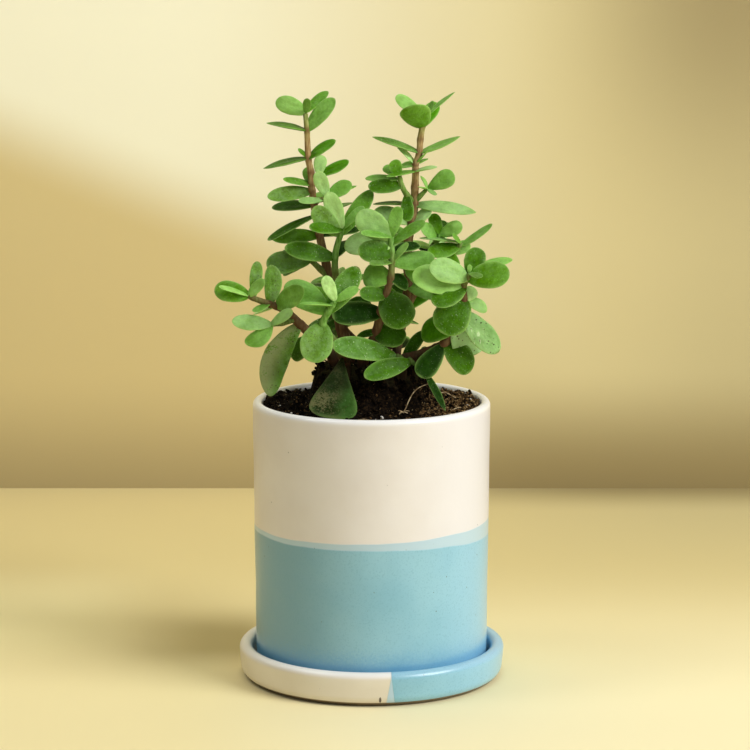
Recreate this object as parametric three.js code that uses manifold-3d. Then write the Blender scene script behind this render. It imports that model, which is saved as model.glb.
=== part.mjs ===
// A small potted jade plant: eleven rooted cuttings with fleshy leaves, in a glazed pot of soil that
// stands in its saucer. Millimetres, +Z up. The origin is the centre of the saucer's flat underside, and
// -Y is the side that the plant is usually looked at from.
import * as THREE from "three";
import { mergeVertices } from "three/addons/utils/BufferGeometryUtils.js";
import Module from "manifold-3d";

const wasm = await Module();
wasm.setup();

// ---------- driving dimensions ----------

const ROUND = 40; // sides of the turned pieces
const SAUCER = { radius: 56.3, footRadius: 50, height: 14.4, floor: 4, wall: 5.6, rim: 2.7 };
const POT = {
  radius: 50, // outside, at the rim
  footRadius: 49, // outside, at the bottom
  height: 114.4,
  wall: 4.2,
  floor: 5,
  footRing: 3, // width of the ring that the pot stands on
  footRingHeight: 1.5,
  drainRadius: 5,
  rim: 2.1, // radius of the rounded lip
};
const SOIL = {
  level: 116, // along the pot's wall, above the origin
  gap: 0.3, // to the pot's wall
  plugCentre: [0, 4], // the nursery plug stands up in the middle
  plugRise: 17,
  plugTop: [22, 12], // half length and half width where its top starts to fall away
  plugFoot: [29, 25], // the same where its side meets the rest
  lump: 0.7,
};
const STEM_FOOT = 121; // where the stems end in the soil
const STEM_CLEAR = 134.5; // up to here they stand straight, in plain holes
const HOLE_GAP = 0.4;
const STEM_SIDES = 6;
const LEAF_SIDES = 4;
const LEAF_RINGS = 5;
const LEAF_THICKNESS = 0.2; // share of the leaf's width
const THINNEST_LEAF = 0.9;
const LEAF_SUNK = 0.8; // how far a leaf starts behind its stem's axis, in stem radii
const LEAF_CUP = 0.1; // how far the margins lift, as a share of the half width

const POT_FOOT = SAUCER.floor;
const POT_TOP = POT_FOOT + POT.height;

// ---------- the plant ----------

// A joint is a ring on the stem where leaves grow: its place, the stem's radius there, its leaves.
const joint = (x, y, z, radius, ...leaves) => ({ at: [x, y, z], radius, leaves });
// A leaf is given by its tip's place, its width, and how far its upper face is turned from the
// sky (0) towards the front (90), in degrees. Then come its outline, how far its midrib arches
// upwards and how far it bends sideways, both as shares of its length.
const leaf = (x, y, z, width, turn, form = "obovate", bow = 0.02, sway = 0) => ({
  tip: [x, y, z], width, turn, form, bow, sway,
});
// Each outline's powers: how the leaf widens from its root, how it narrows towards its tip, and
// how pointed the tip is.
const FORMS = {
  obovate: [0.6, 2.6, 0.5],
  oval: [0.6, 2, 0.55],
  round: [0.5, 2.2, 0.5],
  disc: [0.85, 2.9, 0.5],
  lance: [0.7, 1.6, 0.75],
  spoon: [1.2, 12, 0.5],
};

// Each leafy stem is a list of shoots. The first is the stem itself, which stands straight in the
// soil below its first joint. The others start on it.
const LEAFY_STEMS = {
  left_tall_stem: [
    [
      joint(-10, 6, 135, 2.3),
      joint(-13, 6, 148, 2.1, leaf(-4, 17, 153, 9, 20)),
      joint(-16.5, 5.5, 165, 1.9, leaf(-5, 14, 163, 7, 10)),
      joint(-19, 5, 175, 1.8),
      joint(-21.7, 5, 187, 1.7, leaf(-42.3, 5, 186.3, 6.8, 62, "oval"), leaf(-5, 12, 189, 7, 30)),
      joint(-23.2, 5, 195.5, 1.6, leaf(-43.3, 0, 185.6, 6, 20), leaf(-8, 13, 200, 7, 0)),
      joint(-24, 5, 199.8, 1.5, leaf(-41.8, 9, 198.4, 7.5, 30, "oval", 0), leaf(-20, 19, 204, 6, 0)),
      joint(-24.8, 5, 205.5, 1.5, leaf(-43.3, 1, 203.6, 7, 58, "oval")),
      joint(-25, 5, 208.5, 1.45, leaf(-36.8, 2, 211, 4.6, 35, "oval", 0), leaf(-27.3, 11, 215, 5, 90)),
      joint(-25.2, 5, 213.5, 1.4),
      joint(
        -26.3, 5, 219.5, 1.35, leaf(-45.2, 6, 215, 7, 16, "lance"),
        leaf(-14.8, 3, 227, 7.5, 28, "oval"), leaf(-30.5, 4, 223.5, 2, 60),
      ),
      joint(
        -26.8, 5, 231, 1.2, leaf(-43.8, 6, 234, 7.5, 10, "lance"),
        leaf(-15.2, 3, 244.4, 7.2, 60, "oval"),
      ),
      joint(
        -27.5, 5, 238.5, 1, leaf(-39.8, 9, 243, 7.6, 75, "round"), leaf(-18, 8, 247, 5.2, 35, "oval"),
        leaf(-25.8, -1, 244.5, 4, 60),
      ),
    ],
    [
      joint(-17.5, 5.3, 169, 1.4),
      joint(-21.5, 4, 173, 1.3),
      joint(
        -25.5, 3, 177, 1.1, leaf(-43.8, -1, 175.2, 10.5, 58), leaf(-37.3, 6, 170.5, 8, 25),
        leaf(-37.5, 11, 179.8, 7.5, 25),
      ),
    ],
    [
      joint(-24.2, 5, 201.5, 1.2),
      joint(-20.5, 2, 202.5, 1, leaf(-30, -5, 202.3, 5.5, 30, "oval", 0)),
      joint(
        -18.3, 1, 203.8, 0.8, leaf(-22.4, -1, 214.5, 6, 90), leaf(-8.3, 2, 209.5, 6.8, 60, "oval"),
        leaf(-6.2, 9, 207.5, 5, 10, "lance"),
      ),
    ],
    [
      joint(-25.2, 5, 211.5, 1.1),
      joint(
        -22, 4, 212.7, 0.9, leaf(-20.7, 6, 220.6, 5.5, 90), leaf(-9.4, 5, 218.4, 7, 30, "oval", -0.05),
      ),
    ],
  ],
  left_inner_stem: [
    [
      joint(-9, -1, 135, 1.9),
      joint(-11.5, -1, 148, 1.7),
      joint(-14.5, -1, 166, 1.5),
      joint(-15.2, -1, 178.5, 1.4, leaf(-36, -8, 183.4, 8.6, 60, "oval"), leaf(-10, 13, 184, 7, 0)),
      joint(-13, -2, 188, 1.2, leaf(-24, -7, 200.2, 8.5, 75), leaf(0.2, 6, 206, 7.4, 65, "oval")),
      joint(
        -12.2, -2, 190.5, 1, leaf(-18, -5, 206.3, 7.5, 85), leaf(-25.4, -13, 192, 8, 40, "oval"),
        leaf(-3, -3, 200, 5, 35),
      ),
    ],
  ],
  left_low_stem: [
    [
      joint(-16, -1, 135, 2.3),
      joint(-19.5, -3, 140.5, 2.2),
      joint(-24, -5, 145.5, 2.1, leaf(-34, 3, 136, 9, 60)),
      joint(
        -29.5, -7, 151, 1.9, leaf(-42.6, -15, 122.3, 11.4, 75, "oval", 0.02, -0.1),
        leaf(-38, -9, 140.5, 4.5, 60),
      ),
      joint(-35.5, -9, 157, 1.7),
      joint(
        -39.5, -9.5, 159.3, 1.5, leaf(-27.6, -23.5, 168.4, 9.2, 70, "oval"), leaf(-49, -2, 155, 7, 20),
      ),
      joint(
        -42.5, -10, 160.3, 1.4, leaf(-41.4, -6, 176.2, 7.4, 80, "oval", 0.02, -0.06),
        leaf(-48.3, -18, 158, 5, 10),
      ),
      joint(-49, -12, 163, 1.1, leaf(-47.2, -9, 178, 5.4, 75)),
      joint(
        -51, -12, 164, 1, leaf(-65, -11, 166.8, 9.2, 65, "round"), leaf(-62.8, -18, 168.6, 4.5, 25),
        leaf(-44, -16, 171.2, 5.4, 52, "oval"),
      ),
    ],
    [
      joint(-32, -8, 153.5, 1.3),
      joint(-37, -12, 152.5, 1.1),
      joint(
        -41.5, -15, 152.5, 1, leaf(-57.5, -19, 154.4, 7.2, 58, "oval"),
        leaf(-52.1, -17, 144.6, 7.4, 65, "oval", 0.02, 0.14), leaf(-32.3, -21, 159, 5, 60),
      ),
    ],
  ],
  front_stem: [
    [
      joint(-10.5, -8.5, 135, 1.9),
      joint(-12, -11, 138.5, 1.8, leaf(-16, -37.5, 116.9, 20, 70, "spoon")),
      joint(-16, -16, 146, 1.7),
      joint(-20, -20, 153, 1.6, leaf(-24.7, -29, 139, 13.4, 80, "round")),
      joint(
        -17.8, -21.5, 158.5, 1.4, leaf(-35.5, -7, 168.6, 12, 65, "oval"),
        leaf(-5.4, -19, 177, 9.8, 80, "oval"),
      ),
      joint(-16, -22.5, 161.5, 1.2, leaf(-29.4, -26, 162.7, 6.5, 3)),
      joint(-14.8, -23, 163.5, 0.9, leaf(-19, -24, 174, 5.5, 85), leaf(-5.3, -24, 169, 4.5, 60)),
    ],
  ],
  centre_stem: [
    [
      joint(-3.5, -4.5, 135, 2.3),
      joint(-1, -4, 141, 2.1),
      joint(
        2.2, -5, 148, 2, leaf(14.2, -10.5, 145.6, 10.6, 66, "round"),
        leaf(-6.2, -7, 146.1, 3.6, 50, "lance"),
      ),
      joint(3.8, -6, 156, 1.9, leaf(-16.3, -12, 155.5, 11, 60, "round")),
      joint(
        6, -7, 163.5, 1.6, leaf(14.3, -18, 151.8, 14.6, 75, "round"),
        leaf(-4.9, -13, 165, 7.3, 60, "oval"),
      ),
      joint(8, -7.5, 171, 1.45, leaf(-3.5, -3, 171, 11, 70), leaf(15.4, -3, 166.8, 7.5, 50)),
      joint(
        8.5, -8, 177.5, 1.35, leaf(26.3, -6, 179.4, 9.4, 50, "oval", -0.1),
        leaf(-0.5, -19, 178, 5, 32, "oval"), leaf(15.2, -10, 185.8, 3.5, 45),
      ),
      joint(8.4, -8, 181.5, 1.4, leaf(-5.5, -16, 183, 9.3, 75, "round"), leaf(20, 0, 184, 7, 30)),
      joint(8.2, -8, 185, 1.3, leaf(-11.3, -2, 184, 11.5, 55, "round"), leaf(22.2, -9, 194.6, 6.5, 35)),
      joint(
        8, -8, 188, 1.1, leaf(-5.8, -9, 198, 11.2, 85, "round"), leaf(11.4, -9, 200.8, 5.8, 75),
        leaf(-4.2, -18, 190.6, 6, 30, "oval"),
      ),
    ],
  ],
  right_tall_stem: [
    [
      joint(5, 9, 135, 2.2),
      joint(9, 9, 143, 2.1),
      joint(13, 10, 154, 2, leaf(2, 18, 163, 9, 50)),
      joint(15.5, 10, 165, 1.9, leaf(29, -2, 162, 9, 45)),
      joint(15.2, 9, 173, 1.85, leaf(25, -6, 168, 9, 60), leaf(9, 20, 181, 7, 50)),
      joint(15.4, 8, 183, 1.9, leaf(9, 20, 189, 6, 40), leaf(3, 16, 183, 9, 50)),
      joint(16.8, 8, 192, 1.8, leaf(25.2, 4, 197.3, 7.5, 40), leaf(1, 12, 196.5, 8, 50)),
      joint(18, 8, 199.7, 1.75, leaf(43.8, 4, 196.8, 7.4, 38, "lance"), leaf(0.6, 12, 199.5, 6, 8)),
      joint(18.2, 8, 207, 1.6),
      joint(
        18.5, 8, 213.8, 1.4, leaf(6.2, -1, 212.2, 5.5, 13, "lance"),
        leaf(27.3, 1, 216, 5.5, 20, "lance"),
      ),
      joint(
        18.4, 8, 216.5, 1.35, leaf(10.6, 10, 224.4, 4, 15), leaf(24.4, 6, 223.2, 3.5, 5),
        leaf(23.7, 11, 218.7, 3, 5), leaf(11.9, 11, 215.5, 5, 30),
      ),
      joint(
        20, 8, 221.5, 1.35, leaf(0.3, 9, 228, 7.5, 14, "lance"),
        leaf(37.1, 9, 228.2, 7, 14, "lance", -0.02),
      ),
      joint(20.4, 8, 227, 1.35),
      joint(
        21.3, 8, 232.5, 1.25, leaf(15.4, -4, 241.8, 12.6, -60, "round"), leaf(27.2, 14, 242, 6.5, 60),
      ),
      joint(
        22, 8, 236, 1.05, leaf(10.4, 12, 245, 5.8, 60), leaf(34.8, 10, 246.6, 4.2, 10, "lance"),
        leaf(26, 3, 243, 4.5, 40),
      ),
    ],
    [
      joint(18, 8, 200.5, 1.3),
      joint(14.8, 6, 204, 1.2, leaf(15, 0, 193.5, 5.6, 80)),
      joint(12.6, 5, 208, 1.1, leaf(-1.4, 2, 207.8, 7, 60, "oval")),
      joint(12, 5, 210.5, 1, leaf(-2.6, 9, 210.6, 5, 30)),
      joint(11.6, 5, 212.5, 0.8, leaf(8.5, 3, 218.5, 6, 60), leaf(5, 8, 215.5, 5, 50)),
    ],
    [
      joint(18.4, 8, 201, 1.1),
      joint(20.5, 7, 203.5, 1),
      joint(
        23.3, 6, 206.5, 0.8, leaf(34.4, 4, 213, 8.2, 70, "disc"), leaf(19.7, 1, 207.8, 3, 5),
        leaf(26.8, 1, 204.3, 3, 5), leaf(20.5, 9, 211.7, 1.8, 20, "lance", 0.12),
      ),
    ],
  ],
  right_low_stem: [
    [
      joint(13, -6, 135, 2.3, leaf(21.8, 0, 147.4, 6, 30)),
      joint(17.5, -6.5, 137.3, 2.2),
      joint(23, -8, 139.5, 2.1, leaf(18.6, 3, 136, 7.4, 60)),
      joint(27, -9.5, 141.5, 2, leaf(35, 8, 138, 10, -30)),
      joint(
        30.5, -11, 144, 1.9, leaf(19.6, -17, 131, 9.6, 70, "disc"),
        leaf(40.6, -15, 132, 11, 65, "round", 0.02, 0.08),
      ),
      joint(34.5, -12.5, 150, 1.8, leaf(20.7, -5, 148, 12, 60)),
      joint(
        37.5, -14.5, 157.5, 1.6, leaf(52.6, -18, 141.2, 10.6, 70, "oval"),
        leaf(42.3, -9, 138.3, 15.5, 68),
      ),
      joint(
        38.2, -15.5, 163, 1.5, leaf(28.4, -23, 150.4, 15.2, 75, "round"), leaf(48, -12, 158, 6.3, 50),
        leaf(43, -13, 167.2, 6.2, 70),
      ),
      joint(
        38, -16.5, 168.5, 1.3, leaf(25.2, -25, 162.4, 10.4, 52, "round"),
        leaf(16.8, -21, 174, 12.4, 62, "round"),
      ),
      joint(
        39.8, -18, 172.3, 1.1, leaf(56.8, -20, 174.8, 11.5, 70, "round"),
        leaf(23.7, -24, 178, 10.6, 65, "oval"),
      ),
      joint(
        40.2, -18, 174.5, 0.8, leaf(44.9, -14, 184, 8.8, 85, "round"), leaf(58.3, -6, 178.7, 6.5, 25),
        leaf(44.8, -25, 173.3, 4.6, 20), leaf(40.4, -19, 178, 2, 60),
      ),
    ],
    [
      joint(16, -6.3, 136.7, 1.2),
      joint(16.5, -11, 136.3, 1, leaf(-3, -23, 131.8, 8.6, 65, "oval")),
      joint(22, -14, 133, 0.9, leaf(30.6, -23, 117.6, 3.4, 40, "lance")),
    ],
    [
      joint(14.5, -6.2, 136, 1.2),
      joint(10, -9, 138.5, 1, leaf(-16.4, -24, 145, 10.8, 55, "oval")),
    ],
  ],
  right_upper_stem: [
    [
      joint(10.5, 14, 135, 2),
      joint(15, 17, 154, 1.8, leaf(27, 26, 163, 9, 30)),
      joint(21, 15, 167, 1.6, leaf(18, 31, 171, 9, -20), leaf(36, 14, 165, 8, 20)),
      joint(25, 11, 178.3, 1.3, leaf(22, 24, 181, 8, 10), leaf(30, 24, 186, 7, 10)),
      joint(33.5, 8, 179.5, 1.3, leaf(34.4, 1, 171.4, 6.2, 70), leaf(41.5, 8, 183, 6, 60)),
      joint(
        36.8, 6, 182.5, 1.1, leaf(23.6, 1, 180, 8.4, 45, "oval", -0.05),
        leaf(50.6, 6, 191.8, 5.6, 22, "oval", -0.04),
      ),
      joint(37.3, 6, 184, 0.9, leaf(20, 4, 186, 5.5, 5), leaf(33.8, 1, 187.5, 4, 50)),
    ],
    [
      joint(21, 15, 167, 1.3),
      joint(25.4, 10.6, 181, 1.1, leaf(14, 17, 183, 8, 5)),
      joint(28, 7.5, 185, 1, leaf(20.8, 4, 191.5, 6.5, 50), leaf(33, 14, 191.2, 6, 50)),
      joint(
        28.8, 7, 187.3, 0.8, leaf(38, 4, 191.4, 6.8, 60), leaf(25.5, 9, 195.7, 5.5, 70),
        leaf(30, 12, 192.6, 5, 45),
      ),
    ],
  ],
  back_left_stem: [
    [
      joint(-9, 13, 135, 1.9),
      joint(-13, 18, 150, 1.7, leaf(-27, 19.5, 137, 8, 30), leaf(-1, 24, 157, 10, 40)),
      joint(-15, 22, 158, 1.5, leaf(-28, 15, 161, 9, 50)),
      joint(-16, 25, 162, 1.3, leaf(-30, 28, 162, 8, 10), leaf(-2, 29, 167, 8, 10)),
      joint(-16.5, 26, 165, 1.1, leaf(-19, 38, 162, 7, -30), leaf(-11, 16, 170, 7, 60)),
      joint(-16.5, 26.5, 166.8, 0.8, leaf(-26, 27, 164, 6, 10), leaf(-6, 28, 169, 6, 10)),
    ],
  ],
  back_low_stem: [
    [
      joint(-3, 15, 135, 2),
      joint(-7, 20, 139.5, 1.9, leaf(-1, 37, 131, 13, -60)),
      joint(-12, 25, 144, 1.8, leaf(-28, 31, 136, 13, -40), leaf(-17.5, 44, 137, 12, -60)),
      joint(-17, 29, 149, 1.5, leaf(-15, 44, 146, 12, -60), leaf(-28, 26, 142, 8, 20)),
      joint(-20, 31, 153, 1.1, leaf(-30, 35, 162, 9, -40), leaf(-13, 38, 161, 9, -50)),
      joint(-21, 32, 155.5, 0.8, leaf(-24, 41, 163, 6, -60)),
    ],
  ],
  back_right_stem: [
    [
      joint(4, 16, 135, 1.9),
      joint(4.5, 18.5, 142, 1.8, leaf(13.5, 37, 134, 13, -50)),
      joint(5, 23, 150, 1.7, leaf(-5, 40, 146, 10, -40), leaf(20, 30, 146, 9, 10)),
      joint(7, 28, 158, 1.5, leaf(2, 43, 158, 9, -20), leaf(17, 21, 166, 8, 50)),
      joint(8, 31, 165, 1.2, leaf(-4, 36, 166, 8, 0), leaf(24, 34, 168, 8, 0)),
      joint(8.5, 32, 170, 0.9, leaf(10, 42, 176, 6, -30), leaf(11, 24, 180, 7, 60)),
    ],
  ],
};

// ---------- closed solids from three.js geometry ----------

function solidOf(geometry) {
  const bare = geometry.clone();
  bare.deleteAttribute("normal");
  bare.deleteAttribute("uv");
  const merged = mergeVertices(bare, 1e-4);
  return new wasm.Manifold(
    new wasm.Mesh({
      numProp: 3,
      vertProperties: new Float32Array(merged.attributes.position.array),
      triVerts: new Uint32Array(merged.index.array),
    }),
  );
}

function geometryOf(solid) {
  const mesh = solid.getMesh();
  const places = new Float32Array(mesh.numVert * 3);
  for (let i = 0; i < mesh.numVert; i++) {
    places.set(mesh.vertProperties.subarray(i * mesh.numProp, i * mesh.numProp + 3), i * 3);
  }
  return new THREE.BufferGeometry()
    .setAttribute("position", new THREE.BufferAttribute(places, 3))
    .setIndex(new THREE.BufferAttribute(mesh.triVerts, 1));
}

// Moves every vertex of a geometry to where place(x, y, z) says.
function reshape(geometry, place) {
  const at = geometry.attributes.position;
  for (let i = 0; i < at.count; i++) at.setXYZ(i, ...place(at.getX(i), at.getY(i), at.getZ(i)));
  return geometry;
}

// A turned piece from its profile of [radius, height] points, standing on +Z.
function turned(profile) {
  const points = profile.map(([radius, height]) => new THREE.Vector2(radius, height));
  return new THREE.LatheGeometry(points, ROUND).rotateX(Math.PI / 2);
}

// Profile points along an arc, from one angle to another, in degrees from the outward radius.
function arc(radius, height, bend, from, to, steps = 3) {
  return Array.from({ length: steps + 1 }, (_, i) => {
    const angle = THREE.MathUtils.degToRad(from + ((to - from) * i) / steps);
    return [radius + bend * Math.cos(angle), height + bend * Math.sin(angle)];
  });
}

// ---------- the pot and its saucer ----------

// A thrown dish: flat underside, rounded lower edge, upright wall with a rolled lip.
function saucer() {
  const { radius, footRadius, height, floor, wall, rim } = SAUCER;
  const lowerEdge = 5; // radius of the rounded lower edge
  const innerEdge = 2;
  const inside = radius - wall;
  return turned([
    [0, 0],
    [footRadius, 0],
    ...arc(radius - 0.6 - lowerEdge, lowerEdge, lowerEdge, -60, 0, 2),
    ...arc(radius - rim, height - rim, rim, 0, 180, 4),
    ...arc(inside - innerEdge, floor + innerEdge, innerEdge, 0, -90, 2),
    [0, floor],
  ]);
}

// A cylinder cup on a foot ring, with a drain hole through its floor.
function pot() {
  const { radius, footRadius, wall, floor, footRing, footRingHeight, drainRadius, rim } = POT;
  const lowerEdge = 3;
  const innerEdge = 4;
  const inside = radius - wall;
  const ringOut = footRadius - lowerEdge;
  return turned([
    [drainRadius, POT_FOOT + footRingHeight],
    [ringOut - footRing, POT_FOOT + footRingHeight],
    [ringOut - footRing, POT_FOOT],
    [ringOut, POT_FOOT],
    ...arc(ringOut, POT_FOOT + lowerEdge, lowerEdge, -60, 0, 2),
    ...arc(radius - rim, POT_TOP - rim, rim, 0, 180, 4),
    ...arc(inside - innerEdge, POT_FOOT + floor + innerEdge, innerEdge, 0, -90, 2),
    [drainRadius, POT_FOOT + floor],
    [drainRadius, POT_FOOT + footRingHeight],
  ]);
}

// ---------- the soil ----------

// Height of the soil's surface: level by the wall, the plug standing up in the middle, and lumps.
function soilHeight(x, y) {
  const [fromX, fromY] = [Math.abs(x - SOIL.plugCentre[0]), Math.abs(y - SOIL.plugCentre[1])];
  const top = Math.hypot(fromX / SOIL.plugTop[0], fromY / SOIL.plugTop[1]);
  const foot = Math.hypot(fromX / SOIL.plugFoot[0], fromY / SOIL.plugFoot[1]);
  const down = foot >= 1 ? 1 : Math.max(0, (top - 1) / (top - foot));
  const lumps = Math.sin(x * 0.55 + y * 0.21) * Math.cos(y * 0.47 - x * 0.17);
  return SOIL.level + SOIL.plugRise * (1 - THREE.MathUtils.smoothstep(down, 0, 1)) + SOIL.lump * lumps;
}

// The filling of the pot, with a plain hole for each stem.
function soil() {
  const edge = POT.radius - POT.wall - SOIL.gap;
  const bottom = POT_FOOT + POT.floor;
  const lowerEdge = 4.5;
  const rings = [edge, 38, 32, 27, 23, 19, 14, 8, 0];
  const block = turned([
    [0, bottom],
    [edge - lowerEdge, bottom],
    [edge, bottom + lowerEdge],
    ...rings.map((radius) => [radius, SOIL.level]),
  ]);
  const shaped = reshape(block, (x, y, z) =>
    z > bottom + lowerEdge + 1 ? [x, y, soilHeight(x, y)] : [x, y, z],
  );
  const deep = STEM_FOOT - HOLE_GAP;
  const high = STEM_CLEAR + 6;
  const holes = Object.values(LEAFY_STEMS).map(([main]) => {
    const { at, radius } = main[0];
    const wide = radius + HOLE_GAP;
    const hole = new THREE.CylinderGeometry(wide, wide, high - deep, STEM_SIDES);
    return solidOf(hole.rotateX(Math.PI / 2).translate(at[0], at[1], (high + deep) / 2));
  });
  return geometryOf(solidOf(shaped).subtract(wasm.Manifold.union(holes)));
}

// ---------- stems ----------

// A round stem through the points, each [place, radius], with flat ends.
function stem(points) {
  const curve = new THREE.CatmullRomCurve3(
    points.map(([place]) => new THREE.Vector3(...place)), false, "catmullrom", 0.5,
  );
  const spans = points.length - 1;
  const perSpan = points.length > 4 ? 1 : 2;
  const tube = new THREE.CylinderGeometry(1, 1, 1, STEM_SIDES, spans * perSpan);
  const across = new THREE.Vector3();
  return reshape(tube, (x, y, z) => {
    const along = Math.min(Math.max(0.5 - y, 0), 1);
    const centre = curve.getPoint(along);
    const ahead = curve.getTangent(along);
    across.set(0, 1, 0).addScaledVector(ahead, -ahead.y).normalize();
    const side = new THREE.Vector3().crossVectors(across, ahead);
    const from = Math.min(Math.floor(along * spans), spans - 1);
    const share = along * spans - from;
    const radius = points[from][1] * (1 - share) + points[from + 1][1] * share;
    centre.addScaledVector(across, z * radius).addScaledVector(side, x * radius);
    return centre.toArray();
  });
}

// ---------- leaves ----------

// Half width and half thickness along a leaf, from its root (0) to its tip (1), as shares.
function leafOutline(s, [root, tip, point]) {
  const shape = (t) => t ** root * Math.max(1 - t ** tip, 0) ** point;
  return shape(s) / shape((root / (root + tip * point)) ** (1 / tip));
}
const leafDepth = (s) => Math.pow(Math.max(Math.sin(Math.PI * Math.pow(s, 0.7)), 0), 0.6);

// A fleshy leaf from its root in the stem to its tip: fuller below than above, with its margins
// a little raised.
function leafSolid(root, sunk, { tip, width, turn, form, bow, sway }) {
  const base = new THREE.Vector3(...root);
  const ahead = new THREE.Vector3(...tip).sub(base).normalize();
  base.addScaledVector(ahead, -sunk);
  const length = base.distanceTo(new THREE.Vector3(...tip));
  const angle = THREE.MathUtils.degToRad(turn);
  const face = new THREE.Vector3(0, -Math.sin(angle), Math.cos(angle));
  face.addScaledVector(ahead, -face.dot(ahead)).normalize();
  const side = new THREE.Vector3().crossVectors(face, ahead);
  const depth = Math.max(width * LEAF_THICKNESS, THINNEST_LEAF) / 2;
  const upper = 0.7;
  const lower = 1.3;
  const blade = new THREE.SphereGeometry(1, LEAF_SIDES, LEAF_RINGS);
  return solidOf(
    reshape(blade, (x, y, z) => {
      const along = (1 - y) / 2;
      const round = Math.hypot(x, z) || 1;
      const out = x / round;
      const up = z / round;
      const across = (width / 2) * leafOutline(along, FORMS[form]) * out;
      const arch = 4 * along * (1 - along);
      const lift =
        depth * leafDepth(along) * up * (up > 0 ? upper : lower) +
        bow * length * arch +
        LEAF_CUP * Math.abs(across) * arch;
      return base
        .clone()
        .addScaledVector(ahead, length * along)
        .addScaledVector(side, across + sway * length * arch)
        .addScaledVector(face, lift)
        .toArray();
    }),
  );
}

// A leafy stem: its shoots and every leaf on them, grown together.
function leafyStem(shoots) {
  const grown = [];
  shoots.forEach((joints, order) => {
    const points = joints.map(({ at, radius }) => [at, radius]);
    if (order === 0) {
      const [[x, y], radius] = points[0];
      points.unshift([[x, y, STEM_FOOT], radius]);
    }
    grown.push(solidOf(stem(points)));
    for (const { at, radius, leaves } of joints) {
      grown.push(...leaves.map((each) => leafSolid(at, radius * LEAF_SUNK, each)));
    }
  });
  return geometryOf(wasm.Manifold.union(grown));
}

// ---------- the assembly ----------

const glaze = (color) => new THREE.MeshStandardMaterial({ color, roughness: 0.3, metalness: 0 });
const grownStuff = (color) => new THREE.MeshStandardMaterial({ color, roughness: 0.6, metalness: 0 });

const plant = new THREE.Group();
function add(name, geometry, material) {
  const mesh = new THREE.Mesh(geometry, material);
  mesh.name = name;
  plant.add(mesh);
}

add("saucer", saucer(), glaze("#ecdfcb"));
add("pot", pot(), glaze("#8fc0cc"));
add("soil", soil(), grownStuff("#2b2118"));
for (const [name, shoots] of Object.entries(LEAFY_STEMS)) {
  add(name, leafyStem(shoots), grownStuff("#5d9a3c"));
}

export default plant;
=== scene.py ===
# The looks of a small potted jade plant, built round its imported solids. Metres, +Z up, in the
# solids' own frame: the origin is under the middle of the saucer and -Y is the front.
import math
import random

import bmesh
import bpy
from mathutils import Matrix, Vector, noise


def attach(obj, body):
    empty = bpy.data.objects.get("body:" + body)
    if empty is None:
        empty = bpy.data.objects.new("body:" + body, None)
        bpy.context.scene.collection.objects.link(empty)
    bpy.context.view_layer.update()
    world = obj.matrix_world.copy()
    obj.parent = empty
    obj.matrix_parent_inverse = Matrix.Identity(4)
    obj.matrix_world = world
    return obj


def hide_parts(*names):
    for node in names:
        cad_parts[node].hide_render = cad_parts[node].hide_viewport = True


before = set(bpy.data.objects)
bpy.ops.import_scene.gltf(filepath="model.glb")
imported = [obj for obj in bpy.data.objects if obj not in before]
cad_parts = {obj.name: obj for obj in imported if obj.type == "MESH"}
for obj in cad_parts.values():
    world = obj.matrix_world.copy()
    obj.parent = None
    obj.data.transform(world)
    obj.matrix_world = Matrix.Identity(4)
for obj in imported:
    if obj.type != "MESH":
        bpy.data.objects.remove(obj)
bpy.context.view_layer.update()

# ---------- camera and studio ----------
# A long lens looks a little down at the plant. It stands on a pale sheet in front of a pale wall,
# lit by one large soft window to the right and a weak glow from all round. Light and shade are
# also painted on the sheet and the wall.

camera = bpy.data.objects.new("camera", bpy.data.cameras.new("camera"))
camera.data.sensor_width = 36
camera.data.lens = 137.04
camera.location = (0.00149, -1.1823, 0.3341)
camera.rotation_euler = (math.radians(90 - 9.86), 0, 0)
bpy.context.collection.objects.link(camera)
bpy.context.scene.camera = camera
bpy.context.scene.view_settings.view_transform = "Standard"


def linear(hex_colour, alpha=1.0):
    """An sRGB colour such as #F3E8D6 as the linear RGBA that Blender's sockets take."""
    parts = [int(hex_colour[i : i + 2], 16) / 255 for i in (1, 3, 5)]
    return (*[c / 12.92 if c <= 0.04045 else ((c + 0.055) / 1.055) ** 2.4 for c in parts], alpha)


def new_material(name):
    """A node material with nothing in it yet, and the function that adds a node to it."""
    material = bpy.data.materials.new(name)
    material.use_nodes = True
    material.node_tree.nodes.clear()

    def node(kind, *values, out=None, **settings):
        """Adds a node with its settings and links, and returns its first output or the named one.
        Inputs come in order or by name, as numbers, colours or other nodes' outputs."""
        made = material.node_tree.nodes.new("ShaderNode" + kind)
        named = []
        for setting, value in settings.items():
            label = setting.replace("_", " ")
            if label in made.inputs:
                named.append((made.inputs[label], value))
            else:
                setattr(made, setting, value)
        in_use = [socket for socket in made.inputs if socket.enabled]
        for socket, value in [*zip(in_use, values), *named]:
            if isinstance(value, bpy.types.NodeSocket):
                material.node_tree.links.new(value, socket)
            else:
                socket.default_value = value
        return made.outputs[out] if out else next((s for s in made.outputs if s.enabled), None)

    return material, node


# What the commonest nodes do: mix colours, ease from 0 to 1, multiply, and multiply and add.
COLOURS = {"data_type": "RGBA"}
SMOOTH = {"interpolation_type": "SMOOTHSTEP"}
TIMES = {"operation": "MULTIPLY"}
TIMES_PLUS = {"operation": "MULTIPLY_ADD"}


def object_from(name, bm, material, smooth=True):
    """A mesh object at the origin from a bmesh, with its material and smooth faces."""
    bmesh.ops.recalc_face_normals(bm, faces=bm.faces)
    for face in bm.faces:
        face.smooth = smooth
    mesh = bpy.data.meshes.new(name)
    bm.to_mesh(mesh)
    bm.free()
    mesh.materials.append(material)
    made = bpy.data.objects.new(name, mesh)
    bpy.context.collection.objects.link(made)
    return made


WALL_Y, STAGE = 0.372, 4


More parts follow.
